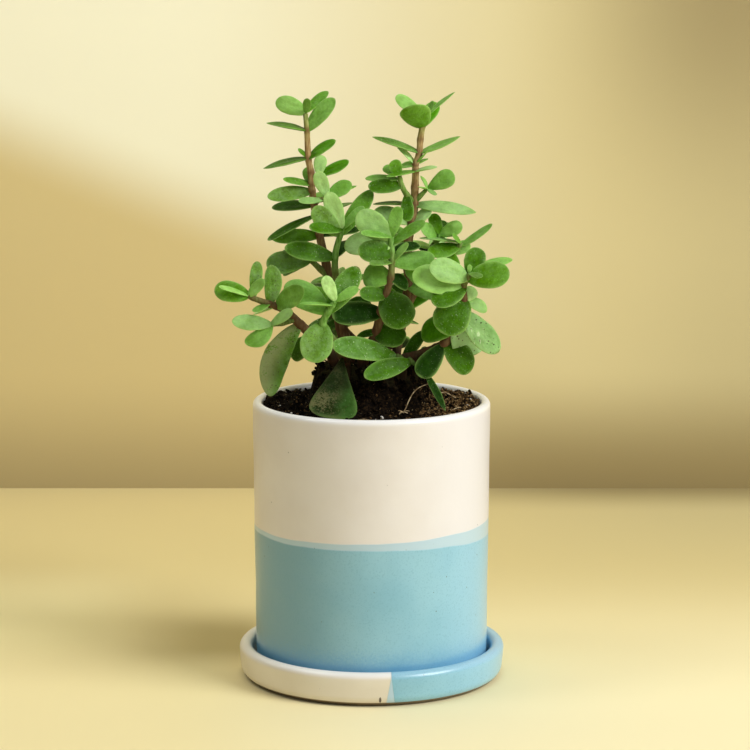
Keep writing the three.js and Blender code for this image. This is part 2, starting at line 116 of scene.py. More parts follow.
def stage_sheet(name, corners, axis, first, painted_light_patches, one_sided=False):
    """A sheet whose tone grades softly, with painted light and shade. A patch is a tone and its
    edges; each edge is the weight of X, the weight of the other axis, and where the tone starts and
    is full, in metres. A one-sided sheet is clear from its back, so the plant can be seen from all
    round."""
    bm = bmesh.new()
    bm.faces.new([bm.verts.new(corner) for corner in corners])
    material, node = new_material(name)
    axes = node("SeparateXYZ", node("TexCoord", out="Object")).node.outputs
    graded = linear(first)
    for tone, *edges in painted_light_patches:
        share = 1.0
        for of_x, of_axis, start, full in edges:
            along = node("Math", axes["X"], of_x, **TIMES)
            along = node("Math", axes[axis], of_axis, along, **TIMES_PLUS)
            share = node("Math", share, node("MapRange", along, start, full, **SMOOTH), **TIMES)
        graded = node("Mix", share, graded, linear(tone), **COLOURS)
    surface = node("BsdfPrincipled", Base_Color=graded, Roughness=0.85)
    if one_sided:
        back = node("NewGeometry", out="Backfacing")
        surface = node("MixShader", back, surface, node("BsdfTransparent"))
    node("OutputMaterial", surface)
    object_from(name, bm, material, smooth=False)


# The floor's patches are painted light and shade: lighter to the right, darker far off and most of
# all far to the right, a painted shadow along the foot of the wall there, a painted shadow of the
# pot by its left side and a painted patch of light further left.
stage_sheet(
    "pale_floor",
    [(-STAGE, -STAGE, 0), (STAGE, -STAGE, 0), (STAGE, WALL_Y, 0), (-STAGE, WALL_Y, 0)],
    "Y", "#F1E2AB",
    [
        ("#F7ECBE", (1, 0, -0.08, 0.02)),
        ("#DDCB8F", (0, 1, -0.06, 0.22)),
        ("#CBBD89", (0, 1, 0.05, 0.35), (1, 0, -0.05, 0.2)),
        ("#9C8B5A", (0, 1, 0.31, 0.38), (1, 0, -0.05, 0.15)),
        ("#F9ECB2", (0, 1, 0.2, 0.1), (0, 1, -0.01, 0.07), (1, 0, -0.09, -0.15)),
        (
            "#C2B077", (0, 1, 0, 0.04), (0, 1, 0.12, 0.06), (1, 0, -0.12, -0.07),
            (1, 0, -0.03, -0.06),
        ),
    ],
)
# The wall's patches are painted light and shade: darker to the right and low by the floor, a
# painted patch of window light with a slanting edge at the upper left, and painted shade at the
# upper right.
stage_sheet(
    "pale_wall",
    [(-STAGE, WALL_Y, 0), (STAGE, WALL_Y, 0), (STAGE, WALL_Y, STAGE), (-STAGE, WALL_Y, STAGE)],
    "Z", "#D8C48A",
    [
        ("#DCCD98", (1, 0, -0.1, 0.08)),
        ("#CABC8B", (1, 0, 0.1, 0.22)),
        ("#AE9C6C", (0, 1, 0.07, -0.01)),
        ("#9C8958", (0, 1, 0.07, -0.01), (1, 0, -0.05, 0.1)),
        ("#F8F4D6", (0.41, 1, 0.091, 0.145), (1, 0, 0.14, -0.12)),
        ("#A29266", (0, 1, 0.12, 0.28), (1, 0, 0.06, 0.2)),
    ],
    one_sided=True,
)


def soft_light(name, place, aim, size, watts, colour, spread=0):
    """A round soft box, or with a spread in degrees a soft spot."""
    data = bpy.data.lights.new(name, "SPOT" if spread else "AREA")
    if spread:
        data.spot_size, data.spot_blend, data.shadow_soft_size = math.radians(spread), 1, size
    else:
        data.shape, data.size = "DISK", size
    data.energy = watts
    data.color = linear(colour)[:3]
    lamp = bpy.data.objects.new(name, data)
    lamp.location = place
    lamp.rotation_euler = (Vector(aim) - Vector(place)).to_track_quat("-Z", "Y").to_euler()
    bpy.context.collection.objects.link(lamp)


soft_light("window", (1.1, -0.66, 0.98), (0, 0, 0.12), size=0.9, watts=21, colour="#FFFFFF")
soft_light("front_fill", (0.15, -1.7, 0.9), (0, 0, 0.15), size=1.4, watts=2.1, colour="#F2F7FF")
soft_light(
    "wall_wash", (-0.75, -0.15, 1.3), (-0.45, WALL_Y, 0.55), size=0.5, watts=3.5, colour="#FFFFFF"
)
soft_light(
    "wall_spot", (-0.9, -0.5, 1.15), (-0.17, WALL_Y, 0.32), size=0.1, watts=14, colour="#FFFFFF",
    spread=26,
)
soft_light("top_glow", (0.05, 0.1, 1.25), (0, 0, 0.1), size=0.7, watts=1.6, colour="#FFFFFF")
world = bpy.data.worlds.new("studio_glow")
world.use_nodes = True
glow = world.node_tree.nodes["Background"]
glow.inputs["Color"].default_value = linear("#F6F8FF")
glow.inputs["Strength"].default_value = 0.17
bpy.context.scene.world = world

# ---------- saucer ----------
# A thrown stoneware dish with a rolled lip. One half was dipped in cream glaze and the other in
# blue; where the two overlap at the front there is a narrow paler wedge. Its foot is wiped bare
# and painted dark brown, as painted shade where it meets the floor.

MM = 0.001
ROUND, EVEN_MIDDLE = 160, 20


def arc(radius, height, bend, start, end, steps):
    """Profile points along an arc, in degrees from the outward radius."""
    angles = [math.radians(start + (end - start) * i / steps) for i in range(steps + 1)]
    return [(radius + bend * math.cos(a), height + bend * math.sin(a)) for a in angles]


def turned(profile, wobble, seed):
    """A turned body from its closed profile of (radius, height) in mm. wobble is how uneven its
    wall is in mm, in swells some 40 mm wide and 17 mm high; the middle stays even."""
    bm = bmesh.new()
    ring = [bm.verts.new((radius * MM, 0, height * MM)) for radius, height in profile]
    on_axis = profile[0][0] == 0
    pairs = list(zip(ring, ring[1:])) + ([] if on_axis else [(ring[-1], ring[0])])
    edges = [bm.edges.new(pair) for pair in pairs]
    bmesh.ops.spin(
        bm, geom=ring + edges, cent=(0, 0, 0), axis=(0, 0, 1), angle=math.tau, steps=ROUND,
        use_merge=True,
    )
    bmesh.ops.remove_doubles(bm, verts=bm.verts, dist=1e-6)
    for vert in bm.verts:
        bump = noise.noise(Vector((vert.co.x * 25, vert.co.y * 25, vert.co.z * 60 + seed)))
        radial = Vector((vert.co.x, vert.co.y, 0))
        if radial.length > EVEN_MIDDLE * MM:
            vert.co += radial.normalized() * bump * wobble * MM
    return bm


def glaze(name, cream_tones, masks, spots):
    """Satin glaze on thrown and dipped stoneware: glassy, softly clouded and finely flecked, with
    pinholes. masks gives where each glaze lies. An iron spot is a place, radius and narrowness."""
    material, node = new_material(name)
    place = node("TexCoord", out="Object")
    x, _, z = node("SeparateXYZ", place).node.outputs
    cloud = node("TexNoise", place, 1 / (28 * MM), 3)
    grain = node("TexNoise", place, 1 / (1.6 * MM), 3)
    pale, blue, low_blue_band, bare_foot_and_shade, thin_lip_and_highlight = masks(node, place, x, z)
    cream = node(
        "Mix", node("MapRange", cloud, 0.3, 0.75, **SMOOTH),
        *[linear(tone) for tone in cream_tones], **COLOURS,
    )
    # Painted shade: on the lit right side the cream is painted cooler and a little darker, against
    # the light that falls there.
    cream = node(
        "Mix", node("MapRange", x, 0.01, 0.045, **SMOOTH), cream, linear("#E4E2E6"), **COLOURS
    )
    deep = node(
        "Mix", node("MapRange", cloud, 0.35, 0.7, **SMOOTH), linear("#93C7DA"), linear("#85BDD3"),
        **COLOURS,
    )
    # Painted light and shade: the blue is painted darker to the left and lighter to the right. It
    # is flecked, and deeper in a ragged band near the foot.
    flecks = node("MapRange", node("TexNoise", place, 1 / (0.7 * MM)), 0.5, 0.72, **SMOOTH)
    for share, tone in (
        (node("MapRange", x, 0.005, -0.045, **SMOOTH), "#74A5BB"),
        (node("MapRange", x, 0.02, 0.05, **SMOOTH), "#97CBE5"),
        (node("Math", flecks, 0.3, **TIMES), "#669FB6"),
        (low_blue_band, "#5FA5CE"),
    ):
        deep = node("Mix", share, deep, linear(tone), **COLOURS)
    colour = node(
        "Mix", blue, node("Mix", pale, cream, linear("#B9D4E3"), **COLOURS), deep, **COLOURS
    )
    # Pinholes a few tenths of a millimetre wide, in some cells of about 6 mm.
    cells = node("TexVoronoi", place, Scale=160).node.outputs
    rare = node("TexWhiteNoise", cells["Position"])
    pit = node("Math", cells["Distance"], node("Math", rare, 0.055, **TIMES), operation="LESS_THAN")
    pit = node("Math", pit, node("Math", rare, 0.3, operation="GREATER_THAN"), **TIMES)
    layers = [(node("Math", pit, 0.6, **TIMES), "#4F5A55")]
    for at, radius, narrow in spots:
        away = node("VectorMath", place, at, operation="SUBTRACT")
        away = node("VectorMath", away, (narrow, 1, 1), **TIMES)
        away = node("VectorMath", away, operation="LENGTH")
        spot = node("Math", away, radius, operation="LESS_THAN")
        layers.append((node("Math", spot, 0.9, **TIMES), "#3A2B1C"))
    # The glaze runs thin and whitish over the lip, where it is painted near-white as a painted
    # highlight along the rim, and the foot is bare clay, painted dark brown as the shade where it
    # stands.
    thin_lip_and_highlight = node("Math", thin_lip_and_highlight, node("Math", blue, -0.48, 0.55, **TIMES_PLUS), **TIMES)
    layers += [(thin_lip_and_highlight, "#FBFCFC"), (bare_foot_and_shade, "#6A5838")]
    for share, tone in layers:
        colour = node("Mix", share, colour, linear(tone), **COLOURS)
    rough = node("Math", grain, 0.12, 0.28, **TIMES_PLUS)
    rough = node("Math", bare_foot_and_shade, 0.4, rough, **TIMES_PLUS)
    relief = node("Math", node("Math", pale, blue, operation="ADD"), 0.125, cloud, **TIMES_PLUS)
    relief = node("Math", grain, 0.03, relief, **TIMES_PLUS)
    relief = node("Math", pit, -0.2, relief, **TIMES_PLUS)
    bump = node("Bump", Height=relief, Distance=1.2 * MM, Strength=0.5)
    surface = node(
        "BsdfPrincipled", Base_Color=colour, Roughness=rough, IOR=1.52, Coat_Weight=0.4,
        Coat_Roughness=0.2, Normal=bump,
    )
    node("OutputMaterial", surface)
    return material


def saucer_masks(node, place, x, z):
    """Cream to the left and blue to the right of a slanting line near the front's middle."""
    across = node("Math", node("TexNoise", place, 1 / (9 * MM)), 0.8 * MM, x, **TIMES_PLUS)
    pale_line = node("Math", z, -0.183, across, **TIMES_PLUS)
    blue_line = node("Math", z, 0.129, across, **TIMES_PLUS)
    pale = node("MapRange", pale_line, 6 * MM, 6.4 * MM, **SMOOTH)
    blue = node("MapRange", blue_line, 10.1 * MM, 10.5 * MM, **SMOOTH)
    # The bare foot is painted dark as the shade at the floor, and the lip near-white as its painted
    # highlight.
    bare_foot_and_shade = node("MapRange", z, 2.1 * MM, 1.7 * MM, **SMOOTH)
    thin_lip_and_highlight = node("MapRange", z, 11.8 * MM, 13.6 * MM, **SMOOTH)
    return pale, blue, 0, bare_foot_and_shade, thin_lip_and_highlight


SAUCER_RADIUS, SAUCER_HEIGHT, SAUCER_FLOOR, SAUCER_WALL, SAUCER_LIP = 56.3, 14.4, 4, 5.7, 2.8
inside = SAUCER_RADIUS - SAUCER_WALL
# Its profile runs along the foot, up the rounded wall, over the lip and back over the floor.
saucer = object_from(
    "saucer_glazed",
    turned(
        [(0, 0), (25, 0), (44.5, 0), (45, 0.4), (50.5, 0.45)]
        + arc(SAUCER_RADIUS - 5.6, 5, 5, -64, 0, 8)
        + [(SAUCER_RADIUS - 0.25, 8.5)]
        + arc(SAUCER_RADIUS - SAUCER_LIP, SAUCER_HEIGHT - SAUCER_LIP, SAUCER_LIP, 0, 180, 14)
        + arc(inside - 2, SAUCER_FLOOR + 2, 2, 0, -90, 6)
        + [(25, SAUCER_FLOOR), (0, SAUCER_FLOOR)],
        wobble=0.12,
        seed=3,
    ),
    # The saucer's cream is painted a little yellower than the pot's, as painted warm light bounced
    # from the floor.
    glaze(
        "dip_glazed_stoneware_saucer", ("#EEE6D6", "#E6DCC8"), saucer_masks,
        [((0.0036, -0.0548, 0.0034), 1.4 * MM, 2.6), ((-0.0264, -0.0497, 0.0056), 0.5 * MM, 2)],
    ),
)
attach(saucer, "root")
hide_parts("saucer")

# ---------- pot ----------
# A straight-sided stoneware cup on a foot ring, with a drain hole. It was glazed cream, then
# dipped upright in blue to a little over half its height, which left a paler band along the line.


def pot_masks(node, place, x, z):
    """Blue below a slightly tilted, wavering line, with a paler band under it."""
    line = node("Math", node("TexNoise", place, 1 / (30 * MM)), 1.6 * MM, 66.7 * MM, **TIMES_PLUS)
    line = node("Math", x, 0.027, line, **TIMES_PLUS)
    below = node("Math", line, z, operation="SUBTRACT")
    # The band is 2.7 mm wide in the middle and wider towards the right.
    right = node("Math", x, 0, operation="MAXIMUM")
    wider = node("Math", node("Math", right, right, **TIMES), 1.2, **TIMES)
    band = node("Math", node("Math", x, 0.02, 2.7 * MM, **TIMES_PLUS), wider, operation="ADD")
    pale = node("MapRange", below, 0, 0.5 * MM, **SMOOTH)
    blue = node("MapRange", node("Math", below, band, operation="SUBTRACT"), 0, 0.8 * MM, **SMOOTH)
    # A deeper blue lies in a ragged band near the foot, weaker towards the right.
    ragged = node("Math", node("TexNoise", place, 1 / (0.8 * MM), 3), 12 * MM, z, **TIMES_PLUS)
    less = node("Math", node("MapRange", x, 0, 0.04, **SMOOTH), -0.25, 0.65, **TIMES_PLUS)
    low_blue_band = node("Math", node("MapRange", ragged, 30.5 * MM, 18.5 * MM, **SMOOTH), less, **TIMES)
    # The bare foot is painted dark as the shade where the pot stands, and the lip near-white as its
    # painted highlight.
    bare_foot_and_shade = node("MapRange", z, 4.8 * MM, 4.2 * MM, **SMOOTH)
    thin_lip_and_highlight = node("MapRange", z, 115.2 * MM, 117.2 * MM, **SMOOTH)
    return pale, blue, low_blue_band, bare_foot_and_shade, thin_lip_and_highlight


POT_RADIUS, POT_FOOT_RADIUS, POT_FOOT, POT_TOP = 50, 49, 4, 118.4
POT_WALL, POT_FLOOR, POT_LIP, DRAIN_RADIUS = 4.2, 5, 2.1, 5
inside = POT_RADIUS - POT_WALL
FOOT_RING, SHOULDER, WALL_RISE = 3, 7, 109.3
ring_out = POT_FOOT_RADIUS - FOOT_RING
# Its profile runs out from the drain hole under the foot ring, up the wall, over the lip and down
# the inside to the floor.
pot = object_from(
    "pot_glazed",
    turned(
        [(DRAIN_RADIUS, POT_FOOT + 1.5), (ring_out - 3.3, POT_FOOT + 1.5)]
        + [(ring_out - 3, POT_FOOT + 0.2), (ring_out - 2.8, POT_FOOT), (ring_out, POT_FOOT)]
        + arc(ring_out, POT_FOOT + FOOT_RING, FOOT_RING, -80, 0, 8)
        + [(POT_FOOT_RADIUS + (POT_RADIUS - POT_FOOT_RADIUS) * t, SHOULDER + WALL_RISE * t)
           for t in (0.1, 0.2, 0.3, 0.4, 0.5, 0.6, 0.7, 0.8, 0.9, 0.97)]
        + arc(POT_RADIUS - POT_LIP, POT_TOP - POT_LIP, POT_LIP, 0, 180, 14)
        + [(inside, 100), (inside, 60)]
        + arc(inside - 4, POT_FOOT + POT_FLOOR + 4, 4, 0, -90, 6)
        + [(DRAIN_RADIUS, POT_FOOT + POT_FLOOR)],
        wobble=0.2,
        seed=11,
    ),
    glaze(
        "dip_glazed_stoneware_pot", ("#EBE6E3", "#E3DCD7"), pot_masks,
        [((-0.0235, -0.0441, 0.0643), 0.5 * MM, 1)],
    ),
)
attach(pot, "root")
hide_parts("pot")

# ---------- potting soil ----------
# Dark, moist peat compost. The nursery plug that the cuttings came in stands up in the middle,
# rough and steep. Loose crumbs, bark, perlite grains and fine roots lie on top.

SOIL_LEVEL, SOIL_GAP, SOIL_RINGS, CORNER = 116, 0.3, 62, 4.5
PLUG_CENTRE, PLUG_RISE = (0, 4), 17
PLUG_TOP, PLUG_FOOT = (22, 12), (29, 25)
# How high the swells, clods and grains of its surface are, and its banks by the sides.
SWELL, CLOD, GRAIN, BANK = 0.7, 1.1, 1.5, 1.5


def soil_height(x, y):
    """The surface over a point in mm: level by the wall, the plug in the middle, and lumps."""
    from_x, from_y = abs(x - PLUG_CENTRE[0]), abs(y - PLUG_CENTRE[1])
    top = math.hypot(from_x / PLUG_TOP[0], from_y / PLUG_TOP[1])
    foot = math.hypot(from_x / PLUG_FOOT[0], from_y / PLUG_FOOT[1])
    down = 1 if foot >= 1 else min(max(0, (top - 1) / (top - foot)), 1)
    fall = down * down * (3 - 2 * down)
    lumps = math.sin(x * 0.55 + y * 0.21) * math.cos(y * 0.47 - x * 0.17)
    return SOIL_LEVEL + PLUG_RISE * (1 - fall) + SWELL * lumps


def rough_height(x, y):
    """The same with the roughness of loose compost, which banks up against the sides."""
    coarse = noise.noise(Vector((x * 0.22, y * 0.22, 5)))
    fine = noise.turbulence(Vector((x * 0.6, y * 0.6, 9)), 3, True)
    bank = BANK * min(max((abs(x) - 30) / 10, 0), 1)
    return soil_height(x, y) + bank + CLOD * coarse + GRAIN * (fine - 0.5)


def compost(name, dark, light):
    """Screened peat or coir: matt and crumbly, in clods of a millimetre or two, with paler fibre
    in it that shows far more towards the right-hand edge, where it is drier and painted lit."""
    material, node = new_material(name)
    place = node("TexCoord", out="Object")
    x, _, z = node("SeparateXYZ", place).node.outputs
    clods = node("TexNoise", place, 1 / (1.3 * MM), 5, Roughness=0.75)
    grit = node("MapRange", clods, 0.46, 0.68, **SMOOTH)
    # Painted light: the paler fibre shows far more towards the lit right-hand side.
    dry_and_lit = node("Math", node("MapRange", x, 16 * MM, 36 * MM, **SMOOTH), 0.14, operation="ADD")
    dry_and_lit = node("Math", dry_and_lit, grit, **TIMES)
    colour = node("Mix", dry_and_lit, linear(dark), linear(light), **COLOURS)
    # The top of the plug is painted with faint olive-grey patches, as painted highlights where it
    # catches the light.
    plug_top_highlight = node("MapRange", node("TexNoise", place, 1 / (3 * MM)), 0.48, 0.62, **SMOOTH)
    plug_top_highlight = node("Math", plug_top_highlight, 0.45, **TIMES)
    plug_top_highlight = node("Math", plug_top_highlight, node("MapRange", z, 123 * MM, 132 * MM, **SMOOTH), **TIMES)
    colour = node("Mix", plug_top_highlight, colour, linear("#5E5A3C"), **COLOURS)
    bump = node("Bump", Height=clods, Distance=1.5 * MM, Strength=1)
    surface = node(
        "BsdfPrincipled", Base_Color=colour, Roughness=1, Specular_IOR_Level=0.08, Normal=bump
    )
    node("OutputMaterial", surface)
    return material


soil_edge = POT_RADIUS - POT_WALL - SOIL_GAP
soil_foot = POT_FOOT + POT_FLOOR
rings = [soil_edge * i / SOIL_RINGS for i in range(SOIL_RINGS, -1, -1)]
bm = turned(
    [(0, soil_foot), (soil_edge - CORNER, soil_foot), (soil_edge, soil_foot + CORNER)]
    + [(radius, SOIL_LEVEL) for radius in rings],
    wobble=0,
    seed=0,
)
for vert in bm.verts:
    if vert.co.z > SOIL_LEVEL / 2 * MM:
        vert.co.z = rough_height(vert.co.x / MM, vert.co.y / MM) * MM
dark_compost = compost("moist_peat_compost", "#0D0805", "#8A6A42")
soil = object_from("potting_soil", bm, dark_compost)
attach(soil, "root")
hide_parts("soil")


def anywhere(dice):
    """A random place on the soil in mm, just clear of the wall."""
    away = soil_edge * math.sqrt(dice.random()) * 0.985
    angle = dice.uniform(0, math.tau)
    return away * math.cos(angle), away * math.sin(angle)


def crumbs(name, count, sizes, material, seed, places=None, lift=0.25, from_x=-POT_RADIUS):
    """Loose angular grains strewn over the soil right of from_x, or laid at given places, in mm."""
    dice = random.Random(seed)
    bm = bmesh.new()
    for i in range(count):
        size = dice.uniform(*sizes) if dice.random() < 0.8 else sizes[1]
        x, y = places[i] if places else anywhere(dice)
        while not places and x < from_x:
            x, y = anywhere(dice)
        spot = Vector((x, y, rough_height(x, y) + lift * size)) * MM
        angle, axis = dice.uniform(0, math.tau), Vector((dice.random(), dice.random(), 1))
        turn = Matrix.Rotation(angle, 4, axis)
        grown = bmesh.ops.create_icosphere(bm, subdivisions=1, radius=size * 0.5 * MM)
        squeeze = Vector((1, dice.uniform(0.55, 0.95), dice.uniform(0.45, 0.8)))
        for vert in grown["verts"]:
            lump = 1 + 0.45 * noise.noise(vert.co * (1.1 / (size * MM)) + Vector((i, 0, 0)))
            vert.co = turn @ (vert.co * squeeze * lump) + spot
    made = object_from(name, bm, material, smooth=False)
    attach(made, "root")


crumbs("soil_crumbs_dark", 900, (0.6, 2.2), dark_compost, seed=4)
dry_coir = compost("dry_coir_crumbs", "#6B5030", "#DDBB82")
crumbs("soil_crumbs_brown", 300, (0.5, 1.4), dry_coir, seed=5)
crumbs("soil_coir_right", 900, (0.4, 1.3), dry_coir, seed=8, from_x=20)
pale_fines = compost("pale_fines", "#94835F", "#E6DABC")
crumbs("soil_fines_pale", 300, (0.35, 0.75), pale_fines, seed=12)
LUMPS = [
    (-24, 3), (-22.5, 7), (-21, 0), (-25.5, 9), (-23, -3), (-20, 12), (28.5, 2), (26, -2),
    (13.2, -9.6), (9.5, -11), (17, -9.5), (20.5, -8), (5, -11.5), (-6, -11), (-12, -9.5),
    (24, 6), (27, 8), (-43.2, -4), (-42.8, 1), (-42, -9),
]
crumbs("soil_lumps", len(LUMPS), (3, 5.5), dark_compost, seed=9, places=LUMPS, lift=0.2)

# Perlite is volcanic glass puffed by heat: chalky white froth with open cells a fifth of a
# millimetre across, and a little compost dust in them.
perlite, node = new_material("perlite")
place = node("TexCoord", out="Object")
dust = node("MapRange", node("TexNoise", place, 1 / (0.9 * MM)), 0.45, 0.7, **SMOOTH)
chalk = node("Mix", dust, linear("#DDD8CB"), linear("#B5A78C"), **COLOURS)
froth = node(
    "Bump", Height=node("TexNoise", place, 1 / (0.2 * MM)), Distance=0.15 * MM, Strength=0.5
)
node("OutputMaterial", node("BsdfPrincipled", Base_Color=chalk, Roughness=0.8, Normal=froth))
PERLITE = [
    (4.4, -30), (1.8, -36), (4.6, -36.5), (40, -12), (-20, -38), (-33, -28), (33, -27),
    (22, -38), (42, 5), (-42, 3), (-38, -14), (14, -40), (-8, 40), (20, 38), (-30, 30), (35, 24),
]
crumbs("perlite_grains", len(PERLITE), (0.7, 1.5), perlite, seed=6, places=PERLITE, lift=0.5)

# ---------- the plant ----------
# A jade plant, raised as a clump of rooted cuttings. Each stem is soft brown wood, swollen and
# ringed where leaves grew, and green at its young tips. The leaves are flat, fleshy and glossy.


def joint(x, y, z, radius, *leaves):
    """A ring on a stem where leaves grow: its place, the stem's radius there and its leaves."""
    return Vector((x, y, z)), radius, leaves


def leaf(x, y, z, width, turn, look="mid", form="obovate", bow=0.02, sway=0):
    """A leaf by its tip, its width and how far its face turns from the sky (0) to the front."""
    return Vector((x, y, z)), width, turn, look, form, bow, sway


LEAFY_STEMS = {}


def shoot(stem, *joints):
    """Adds a shoot to a stem. The first shoot is the stem itself and the others start on it."""
    LEAFY_STEMS.setdefault(stem, []).append(joints)


shoot("left_tall_stem",
    joint(-10, 6, 135, 2.3),
    joint(-13, 6, 148, 2.1, leaf(-4, 17, 153, 9, 20)),
    joint(-16.5, 5.5, 165, 1.9, leaf(-5, 14, 163, 7, 10)),
    joint(-19, 5, 175, 1.8),
    joint(-21.7, 5, 187, 1.7, leaf(-42.3, 5, 186.3, 6.8, 62, "mid", "oval"),
        leaf(-5, 12, 189, 7, 30, "shadow")),
    joint(-23.2, 5, 195.5, 1.6, leaf(-43.3, 0, 185.6, 6, 20, "deep"), leaf(-8, 13, 200, 7, 0)),
    joint(-24, 5, 199.8, 1.5, leaf(-41.8, 9, 198.4, 7.5, 30, "deep", "oval", 0),
        leaf(-20, 19, 204, 6, 0)),
    joint(-24.8, 5, 205.5, 1.5, leaf(-43.3, 1, 203.6, 7, 58, "grey", "oval")),
    joint(-25, 5, 208.5, 1.45, leaf(-36.8, 2, 211, 4.6, 35, "mid", "oval", 0),
        leaf(-27.3, 11, 215, 5, 90, "light")),
    joint(-25.2, 5, 213.5, 1.4),
    joint(-26.3, 5, 219.5, 1.35, leaf(-45.2, 6, 215, 7, 16, "dark", "lance"),
        leaf(-14.8, 3, 227, 7.5, 28, "vivid", "oval"), leaf(-30.5, 4, 223.5, 2, 60)),
    joint(-26.8, 5, 231, 1.2, leaf(-43.8, 6, 234, 7.5, 10, "dark", "lance"),
        leaf(-15.2, 3, 244.4, 7.2, 60, "light", "oval")),
    joint(-27.5, 5, 238.5, 1, leaf(-39.8, 9, 243, 7.6, 75, "pale", "round"),
        leaf(-18, 8, 247, 5.2, 35, "mid", "oval"), leaf(-25.8, -1, 244.5, 4, 60, "light")),
)
shoot("left_tall_stem",
    joint(-17.5, 5.3, 169, 1.4),
    joint(-21.5, 4, 173, 1.3),
    joint(-25.5, 3, 177, 1.1, leaf(-43.8, -1, 175.2, 10.5, 58, "grey"),
        leaf(-37.3, 6, 170.5, 8, 25, "dark"), leaf(-37.5, 11, 179.8, 7.5, 25, "speckled")),
)
shoot("left_tall_stem",
    joint(-24.2, 5, 201.5, 1.2),
    joint(-20.5, 2, 202.5, 1, leaf(-30, -5, 202.3, 5.5, 30, "minty", "oval", 0)),
    joint(-18.3, 1, 203.8, 0.8, leaf(-22.4, -1, 214.5, 6, 90, "bright"),
        leaf(-8.3, 2, 209.5, 6.8, 60, "light", "oval"),
        leaf(-6.2, 9, 207.5, 5, 10, "mid", "lance")),
)
shoot("left_tall_stem",
    joint(-25.2, 5, 211.5, 1.1),
    joint(-22, 4, 212.7, 0.9, leaf(-20.7, 6, 220.6, 5.5, 90, "bright"),
        leaf(-9.4, 5, 218.4, 7, 30, "vivid", "oval", -0.05)),
)
shoot("left_inner_stem",
    joint(-9, -1, 135, 1.9),
    joint(-11.5, -1, 148, 1.7),
    joint(-14.5, -1, 166, 1.5),
    joint(-15.2, -1, 178.5, 1.4, leaf(-36, -8, 183.4, 8.6, 60, "dark", "oval"),
        leaf(-10, 13, 184, 7, 0, "shadow")),
    joint(-13, -2, 188, 1.2, leaf(-24, -7, 200.2, 8.5, 75, "grey"),
        leaf(0.2, 6, 206, 7.4, 65, "mid", "oval")),
    joint(-12.2, -2, 190.5, 1, leaf(-18, -5, 206.3, 7.5, 85, "bright"),
        leaf(-25.4, -13, 192, 8, 40, "dark", "oval"), leaf(-3, -3, 200, 5, 35, "light")),
)
shoot("left_low_stem",
    joint(-16, -1, 135, 2.3),
    joint(-19.5, -3, 140.5, 2.2),
    joint(-24, -5, 145.5, 2.1, leaf(-34, 3, 136, 9, 60, "deep")),
    joint(-29.5, -7, 151, 1.9, leaf(-42.6, -15, 122.3, 11.4, 75, "ashen", "oval", 0.02, -0.1),
        leaf(-38, -9, 140.5, 4.5, 60)),
    joint(-35.5, -9, 157, 1.7),
    joint(-39.5, -9.5, 159.3, 1.5, leaf(-27.6, -23.5, 168.4, 9.2, 70, "light", "oval"),
        leaf(-49, -2, 155, 7, 20, "bright")),
    joint(-42.5, -10, 160.3, 1.4, leaf(-41.4, -6, 176.2, 7.4, 80, "grey", "oval", 0.02, -0.06),
        leaf(-48.3, -18, 158, 5, 10, "light")),
    joint(-49, -12, 163, 1.1, leaf(-47.2, -9, 178, 5.4, 75, "grey")),
    joint(-51, -12, 164, 1, leaf(-65, -11, 166.8, 9.2, 65, "mid", "round"),
        leaf(-62.8, -18, 168.6, 4.5, 25, "pale"), leaf(-44, -16, 171.2, 5.4, 52, "pale", "oval")),
)
shoot("left_low_stem",
    joint(-32, -8, 153.5, 1.3),
    joint(-37, -12, 152.5, 1.1),
    joint(-41.5, -15, 152.5, 1, leaf(-57.5, -19, 154.4, 7.2, 58, "minty", "oval"),
        leaf(-52.1, -17, 144.6, 7.4, 65, "light", "oval", 0.02, 0.14),
        leaf(-32.3, -21, 159, 5, 60, "minty")),
)
shoot("front_stem",
    joint(-10.5, -8.5, 135, 1.9),
    joint(-12, -11, 138.5, 1.8, leaf(-16, -37.5, 116.9, 20, 70, "dusty", "spoon")),
    joint(-16, -16, 146, 1.7),
    joint(-20, -20, 153, 1.6, leaf(-24.7, -29, 139, 13.4, 80, "grey", "round")),
    joint(-17.8, -21.5, 158.5, 1.4, leaf(-35.5, -7, 168.6, 12, 65, "light", "oval"),
        leaf(-5.4, -19, 177, 9.8, 80, "speckled", "oval")),
    joint(-16, -22.5, 161.5, 1.2, leaf(-29.4, -26, 162.7, 6.5, 3, "light")),
    joint(-14.8, -23, 163.5, 0.9, leaf(-19, -24, 174, 5.5, 85, "bright"),
        leaf(-5.3, -24, 169, 4.5, 60, "light")),
)
